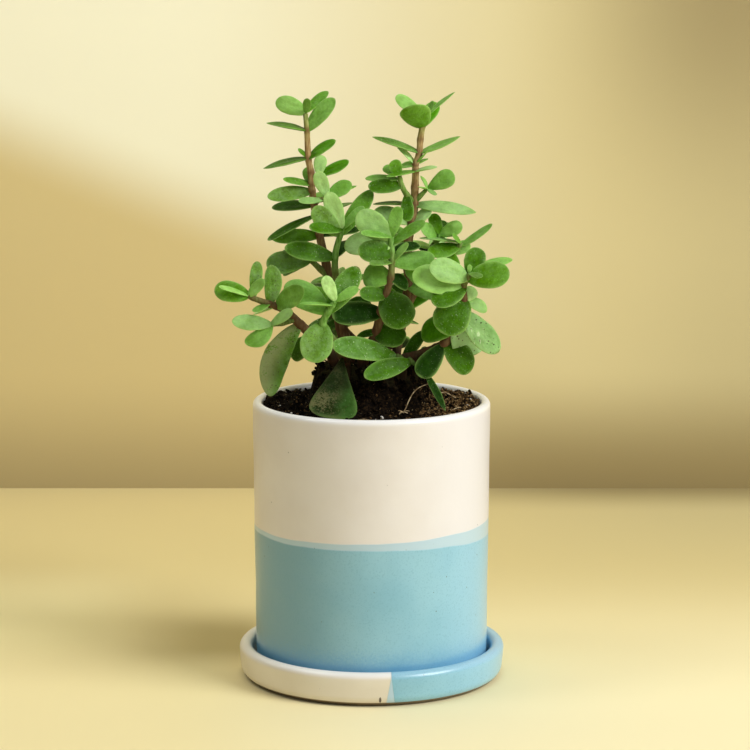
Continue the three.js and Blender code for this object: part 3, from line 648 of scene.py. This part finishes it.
shoot("centre_stem",
    joint(-3.5, -4.5, 135, 2.3),
    joint(-1, -4, 141, 2.1),
    joint(2.2, -5, 148, 2, leaf(14.2, -10.5, 145.6, 10.6, 66, "deep", "round"),
        leaf(-6.2, -7, 146.1, 3.6, 50, "deep", "lance")),
    joint(3.8, -6, 156, 1.9, leaf(-16.3, -12, 155.5, 11, 60, "shadow", "round")),
    joint(6, -7, 163.5, 1.6, leaf(14.3, -18, 151.8, 14.6, 75, "dark", "round"),
        leaf(-4.9, -13, 165, 7.3, 60, "dark", "oval")),
    joint(8, -7.5, 171, 1.45, leaf(-3.5, -3, 171, 11, 70, "light"),
        leaf(15.4, -3, 166.8, 7.5, 50, "shadow")),
    joint(8.5, -8, 177.5, 1.35, leaf(26.3, -6, 179.4, 9.4, 50, "light", "oval", -0.1),
        leaf(-0.5, -19, 178, 5, 32, "grey", "oval"), leaf(15.2, -10, 185.8, 3.5, 45, "pale")),
    joint(8.4, -8, 181.5, 1.4, leaf(-5.5, -16, 183, 9.3, 75, "dark", "round"),
        leaf(20, 0, 184, 7, 30, "shadow")),
    joint(8.2, -8, 185, 1.3, leaf(-11.3, -2, 184, 11.5, 55, "bright", "round"),
        leaf(22.2, -9, 194.6, 6.5, 35)),
    joint(8, -8, 188, 1.1, leaf(-5.8, -9, 198, 11.2, 85, "minty", "round"),
        leaf(11.4, -9, 200.8, 5.8, 75, "light"), leaf(-4.2, -18, 190.6, 6, 30, "light", "oval")),
)
shoot("right_tall_stem",
    joint(5, 9, 135, 2.2),
    joint(9, 9, 143, 2.1),
    joint(13, 10, 154, 2, leaf(2, 18, 163, 9, 50, "vivid")),
    joint(15.5, 10, 165, 1.9, leaf(29, -2, 162, 9, 45, "light")),
    joint(15.2, 9, 173, 1.85, leaf(25, -6, 168, 9, 60), leaf(9, 20, 181, 7, 50)),
    joint(15.4, 8, 183, 1.9, leaf(9, 20, 189, 6, 40, "light"), leaf(3, 16, 183, 9, 50, "bright")),
    joint(16.8, 8, 192, 1.8, leaf(25.2, 4, 197.3, 7.5, 40, "bright"),
        leaf(1, 12, 196.5, 8, 50, "bright")),
    joint(18, 8, 199.7, 1.75, leaf(43.8, 4, 196.8, 7.4, 38, "minty", "lance"),
        leaf(0.6, 12, 199.5, 6, 8, "deep")),
    joint(18.2, 8, 207, 1.6),
    joint(18.5, 8, 213.8, 1.4, leaf(6.2, -1, 212.2, 5.5, 13, "mid", "lance"),
        leaf(27.3, 1, 216, 5.5, 20, "bright", "lance")),
    joint(18.4, 8, 216.5, 1.35, leaf(10.6, 10, 224.4, 4, 15, "bright"),
        leaf(24.4, 6, 223.2, 3.5, 5, "light"), leaf(23.7, 11, 218.7, 3, 5, "light"),
        leaf(11.9, 11, 215.5, 5, 30, "light")),
    joint(20, 8, 221.5, 1.35, leaf(0.3, 9, 228, 7.5, 14, "speckled", "lance"),
        leaf(37.1, 9, 228.2, 7, 14, "light", "lance", -0.02)),
    joint(20.4, 8, 227, 1.35),
    joint(21.3, 8, 232.5, 1.25, leaf(15.4, -4, 241.8, 12.6, -60, "mid", "round"),
        leaf(27.2, 14, 242, 6.5, 60, "vivid")),
    joint(22, 8, 236, 1.05, leaf(10.4, 12, 245, 5.8, 60, "pale"),
        leaf(34.8, 10, 246.6, 4.2, 10, "light", "lance"), leaf(26, 3, 243, 4.5, 40, "light")),
)
shoot("right_tall_stem",
    joint(18, 8, 200.5, 1.3),
    joint(14.8, 6, 204, 1.2, leaf(15, 0, 193.5, 5.6, 80, "dark")),
    joint(12.6, 5, 208, 1.1, leaf(-1.4, 2, 207.8, 7, 60, "dark", "oval")),
    joint(12, 5, 210.5, 1, leaf(-2.6, 9, 210.6, 5, 30, "light")),
    joint(11.6, 5, 212.5, 0.8, leaf(8.5, 3, 218.5, 6, 60), leaf(5, 8, 215.5, 5, 50, "light")),
)
shoot("right_tall_stem",
    joint(18.4, 8, 201, 1.1),
    joint(20.5, 7, 203.5, 1),
    joint(23.3, 6, 206.5, 0.8, leaf(34.4, 4, 213, 8.2, 70, "light", "disc"),
        leaf(19.7, 1, 207.8, 3, 5, "pale"), leaf(26.8, 1, 204.3, 3, 5, "minty"),
        leaf(20.5, 9, 211.7, 1.8, 20, "pale", "lance", 0.12)),
)
shoot("right_low_stem",
    joint(13, -6, 135, 2.3, leaf(21.8, 0, 147.4, 6, 30, "deep")),
    joint(17.5, -6.5, 137.3, 2.2),
    joint(23, -8, 139.5, 2.1, leaf(18.6, 3, 136, 7.4, 60, "vivid")),
    joint(27, -9.5, 141.5, 2, leaf(35, 8, 138, 10, -30)),
    joint(30.5, -11, 144, 1.9, leaf(19.6, -17, 131, 9.6, 70, "shadow", "disc"),
        leaf(40.6, -15, 132, 11, 65, "dark", "round", 0.02, 0.08)),
    joint(34.5, -12.5, 150, 1.8, leaf(20.7, -5, 148, 12, 60, "vivid")),
    joint(37.5, -14.5, 157.5, 1.6, leaf(52.6, -18, 141.2, 10.6, 70, "wet", "oval"),
        leaf(42.3, -9, 138.3, 15.5, 68, "mealy")),
    joint(38.2, -15.5, 163, 1.5, leaf(28.4, -23, 150.4, 15.2, 75, "dark", "round"),
        leaf(48, -12, 158, 6.3, 50, "minty"), leaf(43, -13, 167.2, 6.2, 70, "bright")),
    joint(38, -16.5, 168.5, 1.3, leaf(25.2, -25, 162.4, 10.4, 52, "dark", "round"),
        leaf(16.8, -21, 174, 12.4, 62, "pale", "round")),
    joint(39.8, -18, 172.3, 1.1, leaf(56.8, -20, 174.8, 11.5, 70, "mid", "round"),
        leaf(23.7, -24, 178, 10.6, 65, "minty", "oval")),
    joint(40.2, -18, 174.5, 0.8, leaf(44.9, -14, 184, 8.8, 85, "dark", "round"),
        leaf(58.3, -6, 178.7, 6.5, 25, "light"), leaf(44.8, -25, 173.3, 4.6, 20, "grey"),
        leaf(40.4, -19, 178, 2, 60, "pale")),
)
shoot("right_low_stem",
    joint(16, -6.3, 136.7, 1.2),
    joint(16.5, -11, 136.3, 1, leaf(-3, -23, 131.8, 8.6, 65, "dark", "oval")),
    joint(22, -14, 133, 0.9, leaf(30.6, -23, 117.6, 3.4, 40, "shadow", "lance")),
)
shoot("right_low_stem",
    joint(14.5, -6.2, 136, 1.2),
    joint(10, -9, 138.5, 1, leaf(-16.4, -24, 145, 10.8, 55, "speckled", "oval")),
)
shoot("right_upper_stem",
    joint(10.5, 14, 135, 2),
    joint(15, 17, 154, 1.8, leaf(27, 26, 163, 9, 30, "vivid")),
    joint(21, 15, 167, 1.6, leaf(18, 31, 171, 9, -20), leaf(36, 14, 165, 8, 20)),
    joint(25, 11, 178.3, 1.3, leaf(22, 24, 181, 8, 10, "shadow"),
        leaf(30, 24, 186, 7, 10, "bright")),
    joint(33.5, 8, 179.5, 1.3, leaf(34.4, 1, 171.4, 6.2, 70), leaf(41.5, 8, 183, 6, 60, "pale")),
    joint(36.8, 6, 182.5, 1.1, leaf(23.6, 1, 180, 8.4, 45, "mid", "oval", -0.05),
        leaf(50.6, 6, 191.8, 5.6, 22, "light", "oval", -0.04)),
    joint(37.3, 6, 184, 0.9, leaf(20, 4, 186, 5.5, 5, "minty"),
        leaf(33.8, 1, 187.5, 4, 50, "light")),
)
shoot("right_upper_stem",
    joint(21, 15, 167, 1.3),
    joint(25.4, 10.6, 181, 1.1, leaf(14, 17, 183, 8, 5, "pale")),
    joint(28, 7.5, 185, 1, leaf(20.8, 4, 191.5, 6.5, 50, "light"),
        leaf(33, 14, 191.2, 6, 50, "light")),
    joint(28.8, 7, 187.3, 0.8, leaf(38, 4, 191.4, 6.8, 60, "pale"), leaf(25.5, 9, 195.7, 5.5, 70),
        leaf(30, 12, 192.6, 5, 45, "dark")),
)
shoot("back_left_stem",
    joint(-9, 13, 135, 1.9),
    joint(-13, 18, 150, 1.7, leaf(-27, 19.5, 137, 8, 30, "deep"),
        leaf(-1, 24, 157, 10, 40, "deep")),
    joint(-15, 22, 158, 1.5, leaf(-28, 15, 161, 9, 50)),
    joint(-16, 25, 162, 1.3, leaf(-30, 28, 162, 8, 10), leaf(-2, 29, 167, 8, 10)),
    joint(-16.5, 26, 165, 1.1, leaf(-19, 38, 162, 7, -30), leaf(-11, 16, 170, 7, 60, "minty")),
    joint(-16.5, 26.5, 166.8, 0.8, leaf(-26, 27, 164, 6, 10), leaf(-6, 28, 169, 6, 10)),
)
shoot("back_low_stem",
    joint(-3, 15, 135, 2),
    joint(-7, 20, 139.5, 1.9, leaf(-1, 37, 131, 13, -60)),
    joint(-12, 25, 144, 1.8, leaf(-28, 31, 136, 13, -40, "bright"),
        leaf(-17.5, 44, 137, 12, -60, "bright")),
    joint(-17, 29, 149, 1.5, leaf(-15, 44, 146, 12, -60), leaf(-28, 26, 142, 8, 20, "speckled")),
    joint(-20, 31, 153, 1.1, leaf(-30, 35, 162, 9, -40), leaf(-13, 38, 161, 9, -50)),
    joint(-21, 32, 155.5, 0.8, leaf(-24, 41, 163, 6, -60)),
)
shoot("back_right_stem",
    joint(4, 16, 135, 1.9),
    joint(4.5, 18.5, 142, 1.8, leaf(13.5, 37, 134, 13, -50, "shadow")),
    joint(5, 23, 150, 1.7, leaf(-5, 40, 146, 10, -40), leaf(20, 30, 146, 9, 10, "deep")),
    joint(7, 28, 158, 1.5, leaf(2, 43, 158, 9, -20), leaf(17, 21, 166, 8, 50, "deep")),
    joint(8, 31, 165, 1.2, leaf(-4, 36, 166, 8, 0), leaf(24, 34, 168, 8, 0)),
    joint(8.5, 32, 170, 0.9, leaf(10, 42, 176, 6, -30), leaf(11, 24, 180, 7, 60)),
)

# Each look is the leaf's green, set leaf by leaf to how light or dark it stands, so it is partly
# its own tone and partly painted light and shade: the shadow, deep and near-black dusty looks paint
# the shade on leaves deep in the plant, and the bright look paints the glow of lit leaves. Then
# come the shares of grey bloom, pale specks and glints, dust and wet.
LOOKS = {
    "shadow": ("#1B3E00", 0.05, 0.25, 0, 0),
    "deep": ("#376208", 0.05, 0.35, 0, 0.05),
    "dark": ("#437108", 0.12, 0.5, 0, 0.1),
    "mid": ("#699D32", 0.2, 0.35, 0, 0),
    "vivid": ("#589A12", 0, 0.1, 0, 0),
    "light": ("#84B954", 0.15, 0.1, 0, 0),
    "pale": ("#A5D871", 0.1, 0.05, 0, 0),
    "grey": ("#6B963A", 0.6, 0.3, 0.1, 0),
    "speckled": ("#57862B", 0.4, 1, 0, 0),
    "minty": ("#A2CF79", 0.5, 0.2, 0, 0),
    "bright": ("#CDF9A0", 0.05, 0, 0, 0),
    "mealy": ("#CAFBBA", 0.5, 0.8, 0.2, 0),
    "dusty": ("#1A2A03", 0.1, 0.2, 1, 0),
    "ashen": ("#6E9C3A", 0.6, 0.3, 1, 0),
    "wet": ("#96C478", 0.5, 0.7, 0.2, 1),
}
# Above this height a stem is still green, and below it brown; it turns over GREENING mm.
GREEN_ABOVE = {
    "left_tall_stem": 240, "left_inner_stem": 172, "left_low_stem": 166, "front_stem": 146,
    "centre_stem": 176, "right_tall_stem": 236, "right_low_stem": 172, "right_upper_stem": 180,
    "back_left_stem": 170, "back_low_stem": 152, "back_right_stem": 164,
}
GREENING = 14
STEM_FOOT, STEM_SIDES, STEM_STEP = 121, 14, 0.9
# How far a leaf ring stands out, as a share of the stem's radius, and its half width in mm.
KNOBS, RING_WIDTH = 0.13, 1.1
LEAF_SIDES, LEAF_RINGS = 24, 20
LEAF_THICKNESS, THINNEST_LEAF, LEAF_SUNK, LEAF_CUP = 0.2, 0.9, 0.8, 0.1
# Shares of a leaf's width: its ripple, its midrib's depth and half width, and its edge's waver.
RIPPLE, MIDRIB_DEPTH, MIDRIB_WIDTH, WAVER = 0.03, 0.02, 0.1, 0.04
# How much of its thickness lies over and under its middle.
OVER, UNDER = 0.7, 1.3
# How a leaf's outline swells from its root, how square its end is and how blunt its tip.
FORMS = {
    "obovate": (0.6, 2.6, 0.5), "oval": (0.6, 2, 0.55), "round": (0.5, 2.2, 0.5),
    "disc": (0.85, 2.9, 0.5), "lance": (0.7, 1.6, 0.75), "spoon": (1.2, 12, 0.5),
}

# A live succulent leaf: waxy skin over wet green flesh, so it is satin and a little translucent,
# with a grey bloom, pale pores and a thin pale margin, which also serve as painted glints and
# painted light on its edge. Each leaf carries its own look, which also paints the light and shade
# it gets.
leaf_green, node = new_material("fleshy_jade_leaf")
place = node("TexCoord", out="Object")
look_green_with_light = node("Attribute", attribute_name="leaf_look")
rim, along, bloom = node(
    "SeparateXYZ", node("Attribute", attribute_name="leaf_place", out="Vector")
).node.outputs
specks_and_glints, dust, wet = node(
    "SeparateXYZ", node("Attribute", attribute_name="leaf_marks", out="Vector")
).node.outputs
grain = node("Attribute", attribute_name="leaf_grain", out="Vector")
across = node("SeparateXYZ", grain)
mottle = node("TexNoise", place, 1 / (3.2 * MM), 4, Roughness=0.62)
# Soft wrinkles run along each leaf. Its grain is in millimetres.
wrinkles = node("TexNoise", node("Mapping", grain, Scale=(1, 0.6, 1)), Scale=0.4, Detail=3)
# Painted light and shade: each leaf is painted darker towards its root, in its wrinkles and in soft
# patches some 9 mm wide, as the shade of the leaves round it, and lit elsewhere.
shade = node("HueSaturation", Color=look_green_with_light, Value=0.65, Saturation=1.1)
lit = node("MapRange", node("TexNoise", place, 1 / (9 * MM)), 0.3, 0.62, **SMOOTH)
for share in (
    node("MapRange", along, -0.2, 0.4, **SMOOTH),
    node("MapRange", wrinkles, 0.15, 0.55, **SMOOTH),
):
    lit = node("Math", lit, share, **TIMES)
colour = node("Mix", lit, shade, look_green_with_light, **COLOURS)
# A fine mottle of one millimetre, which is smoother on the light leaves.
fine = node("TexNoise", place, 1 / (1.1 * MM), 3, Roughness=0.7)
speckle = node("Math", fine, 1.2, 0.42, **TIMES_PLUS)
speckled = node("HueSaturation", Color=colour, Value=speckle)
light = node("RGBToBW", look_green_with_light)
smoother = node("MapRange", light, 0.25, 0.6, 0, 0.7, **SMOOTH)
colour = node("Mix", smoother, speckled, colour, **COLOURS)
bloomy = node("Math", node("MapRange", mottle, 0.38, 0.72, **SMOOTH), bloom, **TIMES)
layers = [(node("Math", bloomy, 0.6, **TIMES), linear("#93B77E"))]
# Pale pores about 0.4 mm across and drier specks up to 1 mm on some leaves, which also stand in
# as painted glints of light, and brown grit on the soiled ones.
soiled = node("Math", node("Math", dust, 4, **TIMES), 0.85, operation="MINIMUM")
for per_metre, widest, most, share, amount, tone in (
    (1300, 0.3, 0.6, 0.35, specks_and_glints, "#C4DDA8"),
    (560, 0.17, 0.8, 0.6, specks_and_glints, "#C4DDA8"),
    (860, 0.32, 0.66, 1, soiled, "#3A2C1A"),
):
    cells = node("TexVoronoi", place, Scale=per_metre).node.outputs
    rare = node("TexWhiteNoise", cells["Position"])
    size = node("Math", rare, widest, **TIMES)
    pore = node("Math", cells["Distance"], size, operation="LESS_THAN")
    pore = node("Math", pore, node("Math", rare, most, operation="GREATER_THAN"), **TIMES)
    pore = node("Math", pore, node("Math", amount, share, **TIMES), **TIMES)
    layers.append((pore, linear(tone)))
# The thin pale margin is partly the leaf's own and partly painted light catching its edge; dust
# dims it.
edge = node("Math", rim, node("Math", dust, -0.35, 0.6, **TIMES_PLUS), **TIMES)
layers.append((edge, linear("#A5D070")))
# Dust of brown compost lies on the low leaves, more towards their left and lower edges.
dusted = node(
    "Math", node("TexNoise", place, 1 / (7 * MM)), 0.8,
    node("TexNoise", place, 1 / (0.8 * MM), 5, Roughness=0.8), **TIMES_PLUS,
)
dusted = node("Math", bloom, 0.3, dusted, **TIMES_PLUS)
dusted = node("Math", node("MapRange", dusted, 0.88, 0.97, **SMOOTH), dust, **TIMES)
dusted = node("Math", dusted, node("MapRange", across, 5, -3, **SMOOTH), **TIMES)
dirt = node("Mix", bloom, linear("#565030"), linear("#BAC68A"), **COLOURS)
layers.append((node("Math", dusted, 0.85, **TIMES), dirt))
# Painted shade darkens the upper half of the leaf that hangs over the pot's edge, and painted
# light brings out clean green on the lower right towards the tip of the dusted leaves.
painted_upper_shade = node("Math", dust, node("MapRange", along, 0.82, 0.5, **SMOOTH), **TIMES)
painted_upper_shade = node("Math", painted_upper_shade, node("MapRange", bloom, 0.5, 0.1, **SMOOTH), **TIMES)
layers.append((node("Math", painted_upper_shade, 0.65, **TIMES), linear("#18240A")))
painted_lit_tip = node("Math", dust, node("Math", mottle, 0.7, **TIMES), **TIMES)
for share in (
    node("MapRange", across, -1, 6, **SMOOTH),
    node("MapRange", along, 0.45, 0.8, **SMOOTH),
):
    painted_lit_tip = node("Math", painted_lit_tip, share, **TIMES)
layers.append((painted_lit_tip, linear("#477A2A")))
end = node("Math", node("MapRange", along, 0.95, 1, **SMOOTH), specks_and_glints, **TIMES)
layers.append((node("Math", end, 0.7, **TIMES), linear("#5A4526")))
# Slanting pale streaks on the wettest leaf are painted highlights on its wet gloss.
slanting = node("Mapping", place, Rotation=(0, -0.9, 0), Scale=(1, 1, 0.25))
wet_highlight_streaks = node("MapRange", node("TexNoise", slanting, 1 / (1.5 * MM)), 0.6, 0.68, **SMOOTH)
wet_highlight_streaks = node("Math", wet_highlight_streaks, node("MapRange", wet, 0.6, 0.9, **SMOOTH), **TIMES)
layers.append((node("Math", wet_highlight_streaks, 0.6, **TIMES), linear("#DDF0BE")))
for share, tone in layers:
    colour = node("Mix", share, colour, tone, **COLOURS)
# Bloom and darkness make a leaf duller, and wet makes it glossier.
dull = node("MapRange", light, 0.16, 0.04, 0, 0.3, **SMOOTH)
rough = node("Math", node("Math", bloomy, 0.25, 0.36, **TIMES_PLUS), dull, operation="ADD")
rough = node("Math", wet, -0.16, rough, **TIMES_PLUS)
dimple = node("Math", pore, 0.25, mottle, **TIMES_PLUS)
dimple = node("Math", wrinkles, 1.2, dimple, **TIMES_PLUS)
dimple = node("Math", fine, 0.3, dimple, **TIMES_PLUS)
bump = node("Bump", Height=dimple, Distance=0.5 * MM, Strength=0.6)
surface = node(
    "BsdfPrincipled", Base_Color=colour, Roughness=rough, IOR=1.45, Specular_IOR_Level=0.07,
    Subsurface_Weight=0.06, Subsurface_Radius=(0.4, 1, 0.15), Subsurface_Scale=1.5 * MM,
    Normal=bump,
)
node("OutputMaterial", surface)

# Soft young wood: matt brown, streaked along the stem, dark at its leaf rings, darker low on the
# plant and all but black just above the soil. It is still half green under the top leaves.
bark, node = new_material("soft_jade_bark")
place = node("TexCoord", out="Object")
height = node("SeparateXYZ", place, out="Z")
young, ring, _ = node(
    "SeparateXYZ", node("Attribute", attribute_name="leaf_place", out="Vector")
).node.outputs
streaks = node("TexNoise", node("Mapping", place, Scale=(1, 1, 0.22)), 1 / (0.8 * MM), 4)
colour = node(
    "Mix", node("MapRange", streaks, 0.3, 0.7, **SMOOTH), linear("#957549"), linear("#C4AA76"),
    **COLOURS,
)
green = node(
    "Mix", node("MapRange", streaks, 0.35, 0.7, **SMOOTH), linear("#5E8C34"), linear("#86B25C"),
    **COLOURS,
)
for share, tone in (
    (
        node("MapRange", node("TexNoise", place, 1 / (5 * MM), 3), 0.5, 0.75, **SMOOTH),
        linear("#9A744A"),
    ),
    (node("MapRange", height, 0.225, 0.165, 0, 0.75, **SMOOTH), linear("#4A3420")),
    (node("MapRange", height, 0.146, 0.134, 0, 0.85, **SMOOTH), linear("#1C130B")),
    (node("MapRange", height, 0.224, 0.236, 0, 0.45, **SMOOTH), green),
    (young, green),
    (node("Math", ring, 0.5, **TIMES), linear("#5E3826")),
):
    colour = node("Mix", share, colour, tone, **COLOURS)
bump = node("Bump", Height=streaks, Distance=0.25 * MM, Strength=0.6)
surface = node(
    "BsdfPrincipled", Base_Color=colour, Roughness=0.75, Specular_IOR_Level=0.15, Normal=bump
)
node("OutputMaterial", surface)


def smooth_curve(points, share):
    """A place on the curve through the points, with share 1 for each span, and its direction."""
    first = min(int(share), len(points) - 2)
    t = share - first
    p1, p2 = points[first], points[first + 1]
    p0 = points[first - 1] if first else 2 * p1 - p2
    p3 = points[first + 2] if first + 2 < len(points) else 2 * p2 - p1
    m1, m2 = (p2 - p0) / 2, (p3 - p1) / 2
    square, cube = t * t, t * t * t
    at = (2 * cube - 3 * square + 1) * p1 + (cube - 2 * square + t) * m1
    at += (3 * square - 2 * cube) * p2 + (cube - square) * m2
    ahead = 6 * (square - t) * (p1 - p2) + (3 * square - 4 * t + 1) * m1
    ahead += (3 * square - 2 * t) * m2
    return at, ahead.normalized()


def tube(bm, points, radii, sides, step, knobs=0.0, seed=0):
    """A round strand through points in mm with rounded ends. Gives each vertex's place on it."""
    spans = len(points) - 1
    length = sum((b - a).length for a, b in zip(points, points[1:]))
    rows = max(6, round(length / step))
    grown = bmesh.ops.create_grid(bm, x_segments=sides, y_segments=rows, size=0.5)["verts"]
    where = {}
    for vert in grown:
        angle, share = vert.co.x * math.tau, (vert.co.y + 0.5) * spans
        at, ahead = smooth_curve(points, share)
        across = Vector((0, 1, 0)) - ahead * ahead.y
        if across.length < 0.05:
            across = Vector((1, 0, 0)) - ahead * ahead.x
        across.normalize()
        first = min(int(share), spans - 1)
        radius = radii[first] + (radii[first + 1] - radii[first]) * (share - first)
        span = (points[first + 1] - points[first]).length
        from_joint = min(share - first, first + 1 - share) * span
        ring = math.exp(-((from_joint / RING_WIDTH) ** 2))
        waver = noise.noise(Vector((math.cos(angle), math.sin(angle), share * 3 + seed)))
        end = min(share, spans - share) / spans * length
        cap = math.sqrt(max(1 - (1 - min(end / max(radius, 0.1), 1)) ** 2, 0))
        radius *= (1 + knobs * ring + knobs * 0.2 * waver) * cap
        out = across * math.cos(angle) + across.cross(ahead) * math.sin(angle)
        vert.co = (at + out * radius) * MM
        where[vert] = (at.z, ring)
    return grown, where


def leaf_outline(s, root, tip, point):
    """The half width along a leaf from its root (0) to its tip (1), as a share of the widest."""
    widest = (root / (root + tip * point)) ** (1 / tip)
    peak = widest**root * (1 - widest**tip) ** point
    return s**root * max(1 - s**tip, 0) ** point / peak


def leaf_depth(s):
    """The thickness along a leaf, as a share of the thickest."""
    return max(math.sin(math.pi * s**0.7), 0) ** 0.6


def grow_leaf(bm, root, sunk, tip, width, turn, form, bow, sway, seed):
    """A fleshy leaf, widest beyond its middle, with a bowed midrib and raised margins."""
    dice = random.Random(seed)
    ahead = (tip - root).normalized()
    base = root - ahead * sunk
    length = (tip - base).length
    angle = math.radians(turn)
    face = Vector((0, -math.sin(angle), math.cos(angle)))
    face = (face - ahead * face.dot(ahead)).normalized()
    side = face.cross(ahead)
    depth = max(width * LEAF_THICKNESS, THINNEST_LEAF) / 2
    skew = dice.uniform(-0.06, 0.06)
    grown = bmesh.ops.create_uvsphere(bm, u_segments=LEAF_SIDES, v_segments=LEAF_RINGS, radius=1)
    where = {}
    for vert in grown["verts"]:
        along = min(max((1 - vert.co.z) / 2, 0), 1)
        reach = math.hypot(vert.co.x, vert.co.y) or 1
        out, up = vert.co.x / reach, vert.co.y / reach
        across = width / 2 * leaf_outline(along, *FORMS[form]) * out * (1 + skew * out)
        arch = 4 * along * (1 - along)
        lift = depth * leaf_depth(along) * up * (OVER if up > 0 else UNDER)
        lift += bow * length * arch + LEAF_CUP * abs(across) * arch
        ripple = noise.noise(Vector((across * 0.3, along * 3, seed)))
        lift += ripple * width * RIPPLE * arch
        midrib = math.exp(-((across / (MIDRIB_WIDTH * width)) ** 2)) * arch
        lift -= MIDRIB_DEPTH * width * midrib * (up > 0)
        grain = Vector((across, along * length, seed * 7))
        across *= 1 + WAVER * noise.noise(Vector((out, along * 6, seed + 0.5)))
        across += sway * length * arch
        vert.co = (base + ahead * length * along + side * across + face * lift) * MM
        rim = max(abs(out) ** 10 * min(along * 4, 1), min(max((along - 0.94) / 0.06, 0), 1))
        where[vert] = (rim, along, grain)
    return grown["verts"], where


for number, (name, shoots) in enumerate(LEAFY_STEMS.items()):
    bm = bmesh.new()
    looks = bm.verts.layers.float_vector.new("leaf_look")
    places = bm.verts.layers.float_vector.new("leaf_place")
    marked = bm.verts.layers.float_vector.new("leaf_marks")
    grained = bm.verts.layers.float_vector.new("leaf_grain")
    dice = random.Random(100 + number)
    bark_verts = set()
    for order, joints in enumerate(shoots):
        points = [at for at, radius, leaves in joints]
        radii = [radius for at, radius, leaves in joints]
        if order == 0:
            points.insert(0, Vector((*points[0].xy, STEM_FOOT)))
            radii.insert(0, radii[0])
        seed = number * 10 + order
        grown, where = tube(bm, points, radii, STEM_SIDES, STEM_STEP, KNOBS, seed)
        for vert in grown:
            height, ring = where[vert]
            young = min(max((height - GREEN_ABOVE[name]) / GREENING + 0.5, 0), 1)
            # Side shoots are younger than their stem.
            if order:
                young = max(young, 0.85 if name == "right_tall_stem" else 0.55)
            vert[places] = Vector((young, ring * (1 - young), 0))
        bark_verts.update(grown)
    bmesh.ops.remove_doubles(bm, verts=bm.verts, dist=1e-7)
    bark_faces = set(bm.faces)
    for joints in shoots:
        for at, radius, leaves in joints:
            for tip, width, turn, look_name, form, bow, sway in leaves:
                tone, bloom_share, *mark_shares = LOOKS[look_name]
                tone = Vector(linear(tone)[:3]) * dice.uniform(0.9, 1.1)
                grown, where = grow_leaf(
                    bm, at, radius * LEAF_SUNK, tip, width, turn, form, bow, sway,
                    dice.randrange(1000),
                )
                for vert in grown:
                    rim_share, along, grain_at = where[vert]
                    vert[looks] = tone
                    vert[places] = Vector((rim_share, along, bloom_share))
                    vert[marked] = Vector(mark_shares)
                    vert[grained] = grain_at
    for face in bm.faces:
        face.material_index = 1 if face in bark_faces else 0
    stem = object_from(name + "_grown", bm, leaf_green)
    stem.data.materials.append(bark)
    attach(stem, "root")
    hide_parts(name)

# ---------- loose root and straw ----------
# A fine pale root that broke off hangs from the plug down to the front of the pot, where a small
# tuft of straw lies on the compost. They only rest there.

# Dead root and straw: dry cellulose fibre, matt and bleached in patches.
straw, node = new_material("dry_root_fibre")
worn = node(
    "MapRange", node("TexNoise", node("TexCoord", out="Object"), 1 / (1.5 * MM), 3), 0.35, 0.7,
    **SMOOTH,
)
bleached = node("Mix", worn, linear("#7C6440"), linear("#CDB68C"), **COLOURS)
node("OutputMaterial", node("BsdfPrincipled", Base_Color=bleached, Roughness=0.8))
FIBRE_RADIUS = 0.22
FIBRES = [
    [(24.9, -16.4, 128.2), (19.9, -17, 126.3), (17.3, -18.4, 124.2), (15.5, -20, 121.3),
     (14.2, -21.5, 118.4), (12.9, -23, 116.6)],
    [(12.9, -23, 116.6), (14, -24.6, 117.8), (15.9, -25, 117.8)],
    [(13.2, -22.4, 117), (11.8, -24, 117.8), (11, -25.4, 118)],
    [(13.4, -25, 117), (12.2, -27.4, 118), (11.3, -29.4, 117.2)],
    [(11.8, -26, 117), (13.6, -27.2, 117.8), (15.2, -27.2, 117.2)],
    [(-6, -41, 117), (-3, -42, 117.6), (0, -42, 117)],
    [(33, -20, 117.2), (36, -18, 118), (38, -15, 117.3)],
    [(27, 7, 118.5), (31, 9, 119.5), (36, 9, 117)],
]
bm = bmesh.new()
for number, fibre in enumerate(FIBRES):
    points = [Vector(point) for point in fibre]
    tube(bm, points, [FIBRE_RADIUS] * len(points), sides=6, step=0.6, knobs=0.1, seed=number)
root = object_from("loose_root_and_straw", bm, straw)
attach(root, "root")
